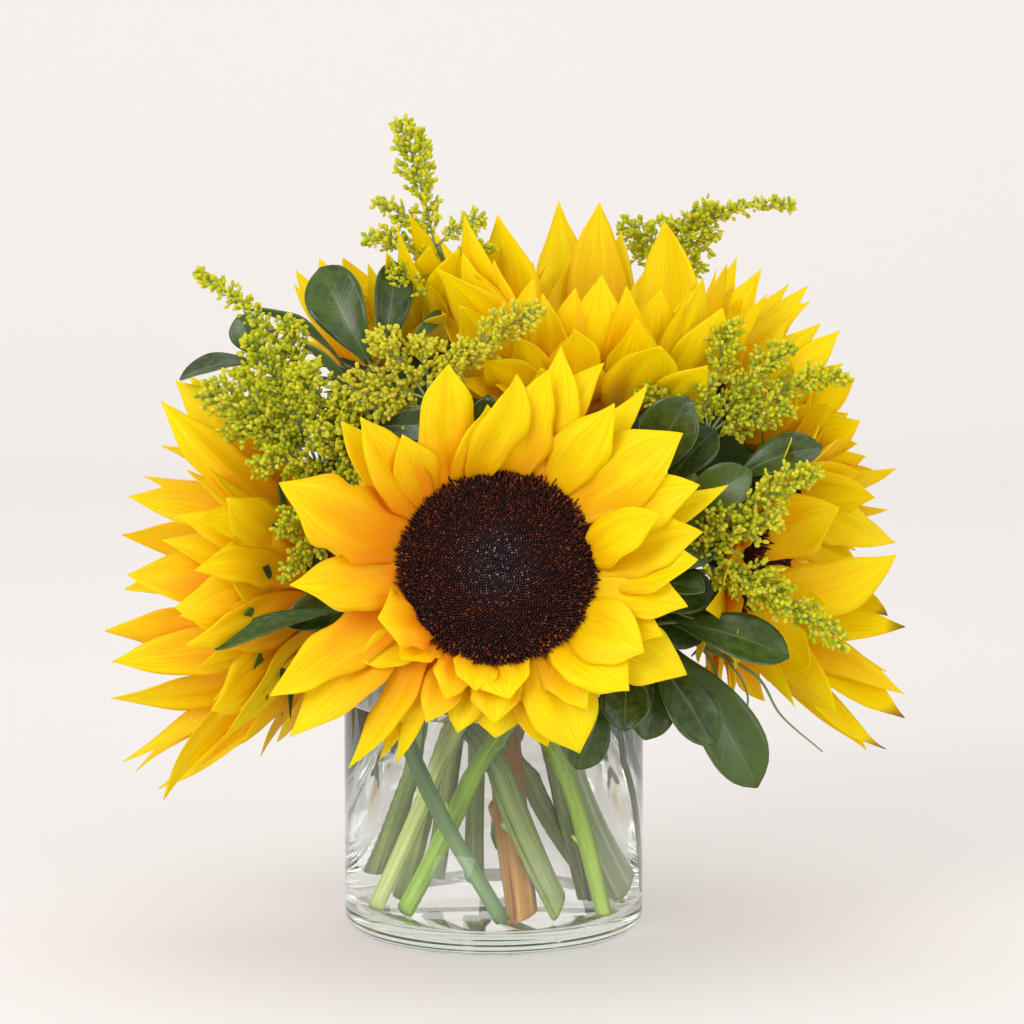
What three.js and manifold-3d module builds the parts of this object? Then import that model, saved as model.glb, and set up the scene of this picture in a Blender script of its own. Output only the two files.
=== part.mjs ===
// Six sunflowers with goldenrod and sprigs of glossy leaves, in a clear glass cylinder vase of water.
// Millimetres, +Z up, the bouquet's front towards -Y, the origin at the centre of the vase's flat foot.
import * as THREE from 'three';
import { mergeVertices } from 'three/addons/utils/BufferGeometryUtils.js';
import Module from 'manifold-3d';

const wasm = await Module();
wasm.setup();

// Driving dimensions.
const GAP = 0.3; // between pieces that touch
const VASE = { radius: 65.5, height: 127, wall: 4, floor: 9.5, heel: 8, rim: 1.5, around: 48 };
const WATER_TOP = 100;
const INNER_RADIUS = VASE.radius - VASE.wall;

const PETAL = { thick: 1.6, tips: 16, valley: 0.74, innerRadius: 12, drop: 6.9 };
const DISC = { dome: 5, back: 5.7, undercut: 3, around: 24 };
const CALYX = { top: 8.3, depth: 19, sepals: 12, sepal: 15, lean: 15, shortest: 0.3, sheet: 1.6 };
const STEM = { radius: 4.4, sides: 8, steps: 16, straight: 12 };
const SPRAY_STEM = { radius: 1.7, sides: 6, steps: 12 };
const TWIG = { radius: 1.5, sides: 6, steps: 10 };
const LEAF = { thick: 1.3, around: 6, along: 7 };
const PLUME = { around: 6, along: 4 };

const COLOUR = {
  glass: 0xe4ece8,
  water: 0xe9f0ec,
  petal: 0xf8cf12,
  disc: 0x3a1c1a,
  calyx: 0x55782e,
  stem: 0x6ea23a,
  goldenrod: 0xb9c22a,
  twig: 0x6b5a34,
  leaf: 0x2c4a22,
};

// A sunflower's head: the centre of its disc's face, the way it faces, its disc's radius, the length of its
// petals, and how far they are cupped forward from the disc's plane at their root and at their tip, in
// degrees. longest is the way in which its petals are longest. stem is the way down to its cut end.
const SUNFLOWERS = {
  front: {
    at: [2, -88, 172],
    faces: [0, -0.94, 0.34],
    disc: 41,
    petal: 50,
    cup: [22, 8],
    longest: { angle: 205, more: 0.14 },
    stem: [[-2, -44, 132], [8, -27, 95], [29, -25, 60], [42, -22, 12]],
  },
  left: {
    at: [-94, -20, 152],
    faces: [-0.97, 0.2, -0.05],
    disc: 37,
    petal: 72,
    cup: [42, 36],
    longest: { angle: 0, more: 0 },
    stem: [[-46, -26, 128], [-28, -16, 95], [-6, -20, 70], [25, -32, 16]],
  },
  top: {
    at: [47, 8, 236],
    faces: [0.04, -0.03, 1],
    disc: 35,
    petal: 78,
    cup: [54, 76],
    longest: { angle: 90, more: 0.04 },
    stem: [[22, 14, 150], [8, 16, 100], [4, 6, 62], [11, -34, 12]],
  },
  top_left: {
    at: [-30, 60, 246],
    faces: [-0.2, 0.3, 0.93],
    disc: 34,
    petal: 68,
    cup: [46, 62],
    longest: { angle: 0, more: 0 },
    stem: [[-14, 34, 160], [-4, 27, 118], [10, 22, 80], [36, 26, 13]],
  },
  top_right: {
    at: [108, 44, 212],
    faces: [0.74, 0.3, 0.6],
    disc: 34,
    petal: 62,
    cup: [38, 50],
    longest: { angle: 0, more: 0 },
    stem: [[40, 4, 150], [14, -6, 120], [-9, -26, 88], [-44, -16, 13]],
  },
  right: {
    at: [119, -12, 163],
    faces: [0.9, -0.3, -0.3],
    disc: 34,
    petal: 52,
    cup: [22, 34],
    longest: { angle: 70, more: 0.22 },
    stem: [[62, -14, 150], [30, -34, 122], [4, -37, 84], [-32, -16, 12]],
  },
};

// A spray of goldenrod: its stem from the top down, and its plumes as root, tip and greatest width.
const GOLDENROD = {
  top: {
    stem: [[-24, -6, 300], [-16, -14, 250], [-14, -6, 180], [-16, 2, 125], [-24, 24, 75], [-31, 36, 14]],
    plumes: [
      [[-24, -6, 296], [-40, -2, 350], 15],
      [[-25, -6, 300], [-50, -4, 318], 9],
      [[-24, -6, 300], [-6, -6, 311], 9],
      [[-23, -7, 292], [-52, -8, 300], 10],
    ],
  },
  centre: {
    stem: [[-28, -48, 240], [-24, -40, 205], [-22, -34, 150], [-18, -14, 115], [-8, 6, 70], [-6, 22, 14]],
    plumes: [
      [[-26, -49, 238], [19, -58, 274], 13],
      [[-28, -49, 238], [-64, -54, 240], 17],
      [[-28, -49, 238], [-50, -54, 262], 15],
      [[-27, -49, 236], [-12, -57, 258], 14],
    ],
  },
  left: {
    stem: [[-74, -46, 212], [-62, -46, 185], [-50, -38, 140], [-40, -36, 118], [-33, -43, 80], [4, -47, 13]],
    plumes: [
      [[-75, -44, 214], [-122, -22, 286], 9],
      [[-75, -47, 210], [-120, -52, 240], 20],
      [[-75, -46, 211], [-100, -46, 258], 18],
      [[-73, -47, 210], [-78, -60, 246], 18],
      [[-73, -47, 208], [-96, -66, 208], 17],
      [[-66, -47, 192], [-86, -76, 184], 14],
    ],
  },
  top_right: {
    stem: [[78, 72, 299], [73, 77, 262], [63, 74, 215], [42, 50, 160], [24, 24, 120], [18, 34, 75], [2, 42, 14]],
    plumes: [
      [[77, 72, 298], [131, 62, 314], 8],
      [[77, 72, 298], [99, 66, 313], 12],
      [[77, 73, 295], [56, 92, 304], 13],
      [[76, 75, 286], [64, 94, 288], 13],
    ],
  },
  right: {
    stem: [[92, -44, 224], [76, -40, 192], [46, -26, 150], [22, -20, 120], [-12, -5, 75], [-30, 4, 13]],
    plumes: [
      [[91, -44, 222], [147, -32, 245], 13],
      [[91, -44, 222], [124, -38, 258], 19],
      [[91, -44, 222], [104, -36, 268], 18],
      [[90, -44, 220], [64, -52, 240], 12],
    ],
  },
  low_right: {
    stem: [[84, -64, 170], [72, -54, 156], [48, -38, 134], [30, -26, 112], [20, -4, 70], [30, 6, 13]],
    plumes: [
      [[83, -65, 168], [134, -78, 209], 15],
      [[83, -65, 167], [118, -80, 188], 14],
      [[83, -65, 167], [145, -90, 138], 15],
    ],
  },
  back: {
    stem: [[18, 96, 232], [16, 80, 195], [10, 52, 150], [2, 38, 118], [-8, 34, 75], [-18, 22, 14]],
    plumes: [
      [[18, 95, 230], [34, 104, 284], 17],
      [[18, 95, 229], [-12, 112, 262], 18],
      [[18, 95, 228], [50, 118, 246], 18],
      [[17, 94, 226], [4, 126, 236], 16],
    ],
  },
  back_left: {
    stem: [[-90, 56, 198], [-70, 46, 174], [-44, 32, 145], [-26, 16, 118], [-6, -4, 70], [34, 10, 14]],
    plumes: [
      [[-89, 55, 197], [-116, 62, 238], 18],
      [[-89, 55, 196], [-130, 72, 208], 18],
      [[-88, 55, 195], [-104, 92, 214], 17],
    ],
  },
};

// A sprig's woody twig from the top down, and its leaves as root, tip, width, and the way its face looks.
const SPRIGS = {
  left: {
    twig: [[-55, -20, 246], [-48, -22, 205], [-36, -16, 150], [-12, -4, 110], [19, 6, 75], [34, -6, 14]],
    leaves: {
      tall: [[-53, -18, 250], [-75, 2, 290], 23, [-0.2, -0.9, 0.3]],
      upright: [[-48, -20, 253], [-41, -6, 295], 16, [0.3, -0.9, 0.1]],
      edgewise: [[-64, -24, 250], [-104, -28, 274], 16, [0.1, 0.3, 1]],
      inner: [[-60, -34, 232], [-84, -42, 262], 15, [0.3, 0.2, 1]],
      shiny: [[-98, -14, 252], [-110, -12, 270], 14, [-0.4, -0.8, 0.3]],
      outer: [[-100, -18, 250], [-135, -16, 243], 16, [0, -0.4, 1]],
    },
  },
  right: {
    twig: [[74, -52, 196], [62, -46, 170], [42, -40, 132], [38, -24, 100], [38, 8, 60], [24, 44, 14]],
    leaves: {
      far: [[102, -50, 204], [139, -54, 218], 18, [0, -0.7, 0.7]],
      long: [[77, -60, 186], [108, -70, 210], 19, [0.3, -0.8, 0.5]],
      high: [[74, -50, 202], [94, -50, 225], 19, [-0.3, -0.8, 0.4]],
      round: [[70, -60, 176], [95, -72, 175], 16, [0, -0.8, 0.6]],
    },
  },
  low: {
    twig: [[68, -58, 142], [58, -46, 138], [47, -30, 124], [50, -16, 92], [52, 0, 55], [51, 10, 14]],
    leaves: {
      side: [[62, -58, 158], [88, -84, 161], 15, [0, -0.6, 0.8]],
      wide: [[76, -66, 145], [124, -78, 132], 20, [0, -0.8, 0.6]],
      hanging: [[68, -66, 130], [92, -88, 96], 20, [0.2, -0.9, 0.3]],
      lowest: [[76, -54, 132], [112, -64, 74], 25, [0.3, -0.9, 0.2]],
      under: [[47, -70, 116], [35, -76, 84], 16, [0.2, -0.9, 0.1]],
      middle: [[56, -72, 128], [55, -90, 103], 19, [0, -0.9, 0.4]],
      tucked: [[68, -64, 124], [64, -78, 97], 18, [0.2, -0.9, 0.3]],
    },
  },
  back: {
    twig: [[-20, 88, 206], [-16, 76, 180], [-12, 58, 145], [-10, 48, 115], [-8, 48, 75], [-2, 50, 14]],
    leaves: {
      crown: [[-18, 96, 210], [-10, 116, 248], 22, [0.1, 0.9, -0.2]],
      west: [[-26, 92, 204], [-64, 112, 216], 21, [0, 0.8, 0.5]],
      east: [[-12, 92, 200], [24, 118, 196], 22, [0, 0.8, 0.5]],
      low: [[-22, 88, 190], [-40, 110, 156], 22, [-0.1, 0.9, 0.2]],
    },
  },
};
const BLADE = [[-63, -64, 150], [-120, -74, 134], 12, [0, -0.5, 1]];

// Shapes, each as a manifold solid.

// A closed geometry as a solid that faces out.
function solidOf(geometry) {
  const bare = geometry.clone();
  bare.deleteAttribute('normal');
  bare.deleteAttribute('uv');
  const merged = mergeVertices(bare, 1e-3);
  const corners = merged.index.array;
  const kept = [];
  for (let i = 0; i < corners.length; i += 3) {
    const [a, b, c] = [corners[i], corners[i + 1], corners[i + 2]];
    if (a !== b && b !== c && c !== a) kept.push(a, b, c);
  }
  const make = (triangles) => new wasm.Manifold(new wasm.Mesh({
    numProp: 3,
    vertProperties: new Float32Array(merged.attributes.position.array),
    triVerts: new Uint32Array(triangles),
  }));
  const solid = make(kept);
  return solid.volume() < 0 ? make(kept.reverse()) : solid;
}

// A solid of revolution about Z, from its profile of radius and height.
function turned(profile, around) {
  const points = profile.map(([radius, height]) => new THREE.Vector2(radius, height));
  return new THREE.LatheGeometry(points, around).rotateX(Math.PI / 2);
}

// Moves each vertex of a geometry to where the function puts it.
function reshape(geometry, move) {
  const position = geometry.attributes.position;
  const vertex = new THREE.Vector3();
  for (let i = 0; i < position.count; i += 1) {
    vertex.fromBufferAttribute(position, i);
    move(vertex);
    position.setXYZ(i, vertex.x, vertex.y, vertex.z);
  }
  return geometry;
}

// A round bar of even thickness along a smooth line of points.
function bar(points, { radius, sides, steps }, grow) {
  const line = new THREE.CatmullRomCurve3(points.map((point) => new THREE.Vector3(...point)));
  const section = new THREE.Shape(new THREE.EllipseCurve(0, 0, radius + grow, radius + grow).getPoints(sides));
  return solidOf(new THREE.ExtrudeGeometry(section, { steps, extrudePath: line, bevelEnabled: false }));
}

// A pointed body from a root to a tip, widest a little past its middle, bowed towards the way that it faces.
function spindle(root, tip, size, grow) {
  const start = new THREE.Vector3(...root);
  const way = new THREE.Vector3(...tip).sub(start);
  const length = way.length();
  way.normalize();
  const across = new THREE.Vector3(...size.faces).cross(way).normalize();
  const up = way.clone().cross(across);
  const shape = new THREE.SphereGeometry(1, size.around, size.along);
  reshape(shape, (vertex) => {
    const share = (1 + vertex.y) / 2;
    const round = Math.hypot(vertex.x, vertex.z) || 1;
    const girth = Math.sin(Math.PI * share ** 0.9) ** 0.8 || 0;
    const side = (vertex.x / round) * girth * (size.width / 2 + grow);
    const lift = (vertex.z / round) * girth * (size.thick / 2 + grow);
    const bow = 4 * share * (1 - share) * size.bow * length;
    const forward = share * (length + 2 * grow) - grow;
    vertex.copy(start).addScaledVector(way, forward);
    vertex.addScaledVector(across, side).addScaledVector(up, lift + bow);
  });
  return solidOf(shape);
}

const leafShape = ([root, tip, width, faces], grow) => (
  spindle(root, tip, { ...LEAF, width, faces, bow: 0.06 }, grow)
);
const plumeShape = ([root, tip, width], grow) => (
  spindle(root, tip, { ...PLUME, width, thick: width, faces: [0, -1, 0.2], bow: 0 }, grow)
);

// The turn and place of a head, from its own frame with the disc's face up at the origin.
function headPlace(head) {
  const facing = new THREE.Vector3(...head.faces).normalize();
  const turn = new THREE.Quaternion().setFromUnitVectors(new THREE.Vector3(0, 0, 1), facing);
  return new THREE.Matrix4().compose(new THREE.Vector3(...head.at), turn, new THREE.Vector3(1, 1, 1));
}

const discShape = (head, grow) => {
  const profile = [
    [0, -DISC.back - grow],
    [head.disc - DISC.undercut + grow, -DISC.back - grow],
    [head.disc + grow, 0],
    [head.disc * 0.75, DISC.dome + grow],
    [head.disc * 0.35, DISC.dome * 0.6 + grow],
    [0, DISC.dome * 0.4 + grow],
  ];
  return solidOf(turned(profile, DISC.around).applyMatrix4(headPlace(head)));
};

// The ring of petals as one cupped sheet with a pointed edge, flat under the disc.
const petalShape = (head, grow) => {
  const root = head.disc + 0.5;
  const half = PETAL.thick / 2 + grow;
  const stations = [PETAL.innerRadius - grow, root, root + head.petal * 0.45, root + head.petal + grow];
  const face = stations.map((station) => [station, half]);
  const back = stations.map((station) => [station, -half]).reverse();
  const sheet = turned([...face, ...back, face[0]], PETAL.tips * 2);
  const [rootCup, tipCup] = head.cup.map(THREE.MathUtils.degToRad);
  const longest = THREE.MathUtils.degToRad(head.longest.angle);
  reshape(sheet, (vertex) => {
    const angle = Math.atan2(vertex.y, vertex.x);
    const from = Math.hypot(vertex.x, vertex.y);
    const atTip = Math.round((angle / Math.PI) * PETAL.tips) % 2 === 0;
    const reach = (atTip ? 1 : PETAL.valley) * (1 + head.longest.more * Math.cos(angle - longest));
    const along = Math.max(0, from - root) * reach;
    const cup = along > 0 ? rootCup + ((tipCup - rootCup) * along) / head.petal : 0;
    const chord = along > 0 ? (rootCup + cup) / 2 : 0;
    const radius = Math.min(from, root) + along * Math.cos(chord) - vertex.z * Math.sin(cup);
    const height = along * Math.sin(chord) + vertex.z * Math.cos(cup) - PETAL.drop;
    vertex.set(radius * Math.cos(angle), radius * Math.sin(angle), height);
  });
  return solidOf(sheet.applyMatrix4(headPlace(head)));
};

// The green cup behind the petals, with its ring of pointed sepals.
const calyxShape = (head, grow) => {
  const cup = THREE.MathUtils.degToRad(Math.min(...head.cup) - CALYX.lean);
  const rim = head.disc + 1;
  const reach = rim + CALYX.sepal * Math.cos(cup);
  const rise = CALYX.sepal * Math.sin(cup);
  const bottom = CALYX.top + CALYX.depth;
  const profile = [
    [0, -CALYX.top + grow],
    [rim, -CALYX.top + grow],
    [reach + grow, rise - CALYX.top + grow],
    [reach + grow, rise - CALYX.top - CALYX.sheet - grow],
    [rim, -CALYX.top - 3 - grow],
    [head.disc * 0.66, -bottom + 8 - grow],
    [STEM.radius + 2 + grow, -bottom - grow],
    [0, -bottom - grow],
  ];
  const body = turned(profile, CALYX.sepals * 2);
  reshape(body, (vertex) => {
    const angle = Math.atan2(vertex.y, vertex.x);
    const from = Math.hypot(vertex.x, vertex.y);
    const atTip = Math.round((angle / Math.PI) * CALYX.sepals) % 2 === 0;
    if (from <= rim + 1e-3 || atTip) return;
    const level = -CALYX.top - CALYX.sheet / 2;
    vertex.x *= (rim + (from - rim) * CALYX.shortest) / from;
    vertex.y *= (rim + (from - rim) * CALYX.shortest) / from;
    vertex.z = level + (vertex.z - level) * CALYX.shortest;
  });
  return solidOf(body.applyMatrix4(headPlace(head)));
};

// A sunflower's stem: straight out of the back of its calyx, then down into the vase.
const stemShape = (head, grow) => {
  const facing = new THREE.Vector3(...head.faces).normalize();
  const back = CALYX.top + CALYX.depth + GAP;
  const start = new THREE.Vector3(...head.at).addScaledVector(facing, -back);
  const next = start.clone().addScaledVector(facing, -STEM.straight);
  return bar([start.toArray(), next.toArray(), ...head.stem], STEM, grow);
};

const sprayShape = (spray, grow) => spray.plumes.reduce(
  (whole, plume) => whole.add(plumeShape(plume, grow)),
  bar(spray.stem, SPRAY_STEM, grow),
);

const vaseShape = (grow) => {
  const { radius, height, wall, floor, heel, rim } = VASE;
  const inner = radius - wall;
  const corner = (1 - Math.SQRT1_2) * heel;
  const profile = [
    [0, -grow],
    [radius - heel, -grow],
    [radius - corner + grow, corner - grow],
    [radius + grow, heel],
    [radius + grow, height - rim],
    [radius - rim, height + grow],
    [inner + rim, height + grow],
    [inner - grow, height - rim],
    [inner - grow, floor + heel],
    [inner - corner - grow, floor + corner + grow],
    [inner - heel, floor + grow],
    [0, floor + grow],
  ];
  return solidOf(turned(profile, VASE.around));
};

// The water, which fills the vase to its level and leaves room for the stems.
const waterShape = (grow) => {
  const { floor, heel } = VASE;
  const radius = INNER_RADIUS - GAP + grow;
  const corner = (1 - Math.SQRT1_2) * heel;
  const bottom = floor + GAP - grow;
  const profile = [
    [0, bottom],
    [radius - heel, bottom],
    [radius - corner, bottom + corner],
    [radius, bottom + heel],
    [radius, WATER_TOP + grow],
    [0, WATER_TOP + grow],
  ];
  return solidOf(turned(profile, VASE.around));
};

// Placing: each new solid gives way to those placed before it, by the gap.
const bouquet = new THREE.Group();
const placed = [];

function place(name, shape, { colour, roughness }, extra = {}) {
  let solid = shape(0);
  for (const other of placed) {
    if (solid.intersect(other).volume() > 0) solid = solid.subtract(other);
  }
  const largest = solid.decompose().sort((a, b) => b.volume() - a.volume())[0];
  placed.push(shape(GAP));
  const mesh = largest.getMesh();
  const geometry = new THREE.BufferGeometry();
  const positions = new Float32Array(mesh.numVert * 3);
  for (let i = 0; i < mesh.numVert; i += 1) {
    positions.set(mesh.vertProperties.subarray(i * mesh.numProp, i * mesh.numProp + 3), i * 3);
  }
  geometry.setAttribute('position', new THREE.BufferAttribute(positions, 3));
  geometry.setIndex(new THREE.BufferAttribute(new Uint32Array(mesh.triVerts), 1));
  geometry.computeVertexNormals();
  const material = new THREE.MeshStandardMaterial({ color: colour, roughness, metalness: 0, ...extra });
  const piece = new THREE.Mesh(geometry, material);
  piece.name = name;
  bouquet.add(piece);
}

place('vase', vaseShape, { colour: COLOUR.glass, roughness: 0.05 }, { transparent: true, opacity: 0.35 });
for (const [name, head] of Object.entries(SUNFLOWERS)) {
  place(`${name}_sunflower_disc`, (grow) => discShape(head, grow), { colour: COLOUR.disc, roughness: 0.95 });
  place(`${name}_sunflower_petals`, (grow) => petalShape(head, grow), { colour: COLOUR.petal, roughness: 0.55 });
  place(`${name}_sunflower_calyx`, (grow) => calyxShape(head, grow), { colour: COLOUR.calyx, roughness: 0.8 });
}
for (const [name, head] of Object.entries(SUNFLOWERS)) {
  place(`${name}_sunflower_stem`, (grow) => stemShape(head, grow), { colour: COLOUR.stem, roughness: 0.6 });
}
for (const [name, spray] of Object.entries(GOLDENROD)) {
  place(`${name}_goldenrod`, (grow) => sprayShape(spray, grow), { colour: COLOUR.goldenrod, roughness: 0.85 });
}
for (const [name, sprig] of Object.entries(SPRIGS)) {
  place(`${name}_sprig_twig`, (grow) => bar(sprig.twig, TWIG, grow), { colour: COLOUR.twig, roughness: 0.8 });
}
for (const [name, sprig] of Object.entries(SPRIGS)) {
  for (const [leaf, shape] of Object.entries(sprig.leaves)) {
    place(`${name}_sprig_${leaf}_leaf`, (grow) => leafShape(shape, grow), { colour: COLOUR.leaf, roughness: 0.4 });
  }
}
place('left_blade_leaf', (grow) => leafShape(BLADE, grow), { colour: COLOUR.leaf, roughness: 0.4 });
place('water', waterShape, { colour: COLOUR.water, roughness: 0.02 }, { transparent: true, opacity: 0.3 });

export default bouquet;
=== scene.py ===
import math

import bpy
import numpy as np
from bpy.props import FloatProperty, FloatVectorProperty, IntProperty, PointerProperty
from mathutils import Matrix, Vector


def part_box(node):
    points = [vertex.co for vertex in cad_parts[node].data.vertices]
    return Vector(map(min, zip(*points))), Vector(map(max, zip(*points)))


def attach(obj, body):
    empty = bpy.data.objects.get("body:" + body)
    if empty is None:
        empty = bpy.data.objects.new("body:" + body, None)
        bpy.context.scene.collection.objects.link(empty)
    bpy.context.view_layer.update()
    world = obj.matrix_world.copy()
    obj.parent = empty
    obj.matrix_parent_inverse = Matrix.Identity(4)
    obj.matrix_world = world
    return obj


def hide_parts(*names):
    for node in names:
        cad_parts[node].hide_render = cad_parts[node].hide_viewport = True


bl_info = {
    "name": "Sunflower Bouquet",
    "version": (1, 0, 0),
    "blender": (4, 5, 0),
    "location": "3D View > Sidebar > Bouquet",
    "description": "Sunflowers, goldenrod and glossy leaves in a glass cylinder vase of water",
    "category": "Add Mesh",
}

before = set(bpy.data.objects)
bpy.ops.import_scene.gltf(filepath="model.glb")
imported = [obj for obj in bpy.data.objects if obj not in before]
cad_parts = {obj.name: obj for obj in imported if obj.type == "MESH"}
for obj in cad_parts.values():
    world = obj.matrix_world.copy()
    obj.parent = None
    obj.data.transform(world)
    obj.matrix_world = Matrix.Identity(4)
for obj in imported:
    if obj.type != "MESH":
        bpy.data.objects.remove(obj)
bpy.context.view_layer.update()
MM = 0.001
TAU = 2 * math.pi

# ---------------------------------------------------------------------------------------------------------
# Places that the frame gives
# ---------------------------------------------------------------------------------------------------------


def corners(node):
    """A CAD node's vertices, in metres."""
    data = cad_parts[node].data
    flat = np.zeros(len(data.vertices) * 3)
    data.vertices.foreach_get("co", flat)
    return flat.reshape(-1, 3)


def unit(vector):
    """The vector, or each of a row of vectors, at length 1."""
    vector = np.asarray(vector, float)
    return vector / np.linalg.norm(vector, axis=-1, keepdims=True)


class Head:
    """Where a sunflower's head is: its centre, disc radius, and its axes. normal is the way it faces."""

    def __init__(self, name):
        disc = corners(f"{name}_sunflower_disc")
        back = corners(f"{name}_sunflower_calyx").mean(0)
        middle = disc.mean(0)
        spread = np.linalg.eigh(np.cov((disc - middle).T))[1]
        normal = spread[:, 0] * np.sign(spread[:, 0] @ (middle - back))
        level = (disc - middle) @ normal
        out = np.linalg.norm(disc - middle - np.outer(level, normal), axis=1)
        rim = disc[out > 0.97 * out.max()]
        self.name = name
        self.centre = rim.mean(0)
        self.normal = normal
        self.radius = np.linalg.norm(rim - self.centre, axis=1).mean()
        faces_up = abs(normal[2]) >= 0.8
        guide = np.array([0.0, 1.0, 0.0]) if faces_up else np.array([0.0, 0.0, 1.0])
        self.up = unit(guide - (guide @ normal) * normal)
        self.side = np.cross(self.up, normal)

    def place(self, points):
        """Points of the head's own frame, as points of the bouquet."""
        points = np.asarray(points)
        turn = np.stack([self.side, self.up, self.normal])
        return self.centre + points @ turn

    def turn(self, angle):
        """A head-frame turn matrix that takes +X to the angle, in degrees."""
        cos, sin = math.cos(math.radians(angle)), math.sin(math.radians(angle))
        return np.array([[cos, sin, 0.0], [-sin, cos, 0.0], [0.0, 0.0, 1.0]])


# ---------------------------------------------------------------------------------------------------------
# Shapes
# ---------------------------------------------------------------------------------------------------------


class Shape:
    """Vertices, faces and the values that the materials read, gathered before they become one mesh."""

    VALUES = ("along", "across", "tint", "side")

    def __init__(self):
        self.points = []
        self.faces = []
        self.values = {key: [] for key in self.VALUES}
        self.count = 0

    def add(self, points, faces, **values):
        """Adds points, blocks of faces numbered within them, and a value or one for each point."""
        points = np.asarray(points, float).reshape(-1, 3)
        self.faces.extend((np.asarray(block) + self.count for block in faces if len(block)))
        self.points.append(points)
        self.count += len(points)
        for key in self.VALUES:
            self.values[key].append(np.broadcast_to(np.ravel(values.get(key, 0.0)), len(points)))

    def mesh(self, name, material):
        """Everything gathered, as one smooth mesh that carries the values."""
        data = bpy.data.meshes.new(name)
        faces = [tuple(face) for block in self.faces for face in block.tolist()]
        data.from_pydata(np.concatenate(self.points).tolist(), [], faces)
        for key in self.VALUES:
            store = data.attributes.new(key, "FLOAT", "POINT")
            store.data.foreach_set("value", np.concatenate(self.values[key]).astype(np.float32))
        data.shade_smooth()
        data.materials.append(material)
        return data


def grid_faces(rows, columns, first=0, wrap=False, flip=False):
    """The quads of a grid of points, which may close on itself across its columns."""
    steps = columns if wrap else columns - 1
    row, column = np.meshgrid(np.arange(rows - 1), np.arange(steps), indexing="ij")
    row, column = row.ravel(), column.ravel()
    after = (column + 1) % columns
    low, high = row * columns, (row + 1) * columns
    quads = [low + column, low + after, high + after, high + column]
    return np.stack(quads[::-1] if flip else quads, axis=1) + first


def add_sheet(shape, points, thickness, along, across, tint):
    """Adds a thin closed sheet over a grid of points: a face, a back and a rim that joins them."""
    rows, columns = points.shape[:2]
    down = np.gradient(points, axis=0)
    over = np.gradient(points, axis=1)
    normal = np.cross(over, down)
    smallest = 1e-12
    normal /= np.maximum(np.linalg.norm(normal, axis=2, keepdims=True), smallest)
    back = points - normal * thickness
    count = rows * columns
    index = np.arange(count).reshape(rows, columns)
    rim = np.concatenate([index[0, :], index[1:, -1], index[-1, -2::-1], index[-2:0:-1, 0]])
    after = np.roll(rim, -1)
    faces = [
        grid_faces(rows, columns),
        grid_faces(rows, columns, first=count, flip=True),
        np.stack([after, rim, rim + count, after + count], axis=1),
    ]
    shape.add(
        np.concatenate([points.reshape(-1, 3), back.reshape(-1, 3)]),
        faces,
        along=np.tile(np.broadcast_to(along, (rows, columns)).ravel(), 2),
        across=np.tile(np.broadcast_to(across, (rows, columns)).ravel(), 2),
        tint=tint,
        side=np.repeat([0.0, 1.0], count),
    )


def add_tube(shape, line, radius, sides, tint, section=None, cut=0.0):
    """Adds a closed tube along a line of points. radius is one value, or one for each point.

    section gives the outline about the line, and cut slants the far end by that many radii."""
    line = np.asarray(line, float)
    rows = len(line)
    radius = np.broadcast_to(radius, rows)
    tangent = unit(np.gradient(line, axis=0))
    start = np.array([0.0, 0.0, 1.0]) if abs(tangent[0, 2]) < 0.9 else np.array([1.0, 0.0, 0.0])
    normal = unit(np.cross(tangent[0], start))
    normals = []
    for way in tangent:
        normal = unit(normal - (normal @ way) * way)
        normals.append(normal)
    normals = np.array(normals)
    other = np.cross(tangent, normals)
    angle = np.arange(sides) * TAU / sides
    ring = normals[:, None] * np.cos(angle)[None, :, None] + other[:, None] * np.sin(angle)[None, :, None]
    outer = radius[:, None] * (section(angle) if section else np.ones(sides))[None, :]
    points = line[:, None] + ring * outer[:, :, None]
    length = np.concatenate([[0.0], np.cumsum(np.linalg.norm(np.diff(line, axis=0), axis=1))])
    if cut:
        # The slant faces 0.7 radians round, and fades out within four radii of the end.
        near_end = np.clip(1 - (length[-1] - length) / (4 * radius[-1]), 0, 1)
        slant = cut * np.cos(angle - 0.7)[None, :] * radius[:, None] * near_end[:, None]
        points += tangent[:, None] * slant[:, :, None]
    near_cap = np.arange(sides)[None, ::-1]
    far_cap = (rows - 1) * sides + np.arange(sides)[None, :]
    shape.add(
        points,
        [grid_faces(rows, sides, wrap=True), near_cap, far_cap],
        along=np.repeat(length, sides),
        across=np.tile(angle / TAU, rows),
        tint=tint,
    )


def arc(x, y, radius, start, stop, count):
    """Points of a round corner about its centre, from one angle to another in degrees."""
    angles = np.radians(np.linspace(start, stop, count))
    return [(x + radius * math.cos(angle), y + radius * math.sin(angle)) for angle in angles]


def turned_faces(rows, sides):
    """The faces of rings of points that two last points close at the axis: a grid and a fan at each end."""
    turn = np.arange(sides)
    after = (turn + 1) % sides
    first, last, last_ring = rows * sides, rows * sides + 1, (rows - 1) * sides
    return [
        grid_faces(rows, sides, wrap=True),
        np.stack([np.full(sides, first), after, turn], axis=1),
        np.stack([np.full(sides, last), turn + last_ring, after + last_ring], axis=1),
    ]


def turned_points(profile, sides):
    """A profile of radius and height that starts and ends on the axis, turned about Z."""
    angle = np.arange(sides) * TAU / sides
    inside = np.array(profile[1:-1], float)
    ring = np.stack([np.cos(angle), np.sin(angle), np.zeros(sides)], axis=1)
    points = ring[None] * inside[:, 0, None, None] + np.array([0.0, 0.0, 1.0]) * inside[:, 1, None, None]
    ends = [[0.0, 0.0, profile[0][1]], [0.0, 0.0, profile[-1][1]]]
    return np.concatenate([points.reshape(-1, 3), ends])


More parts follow.
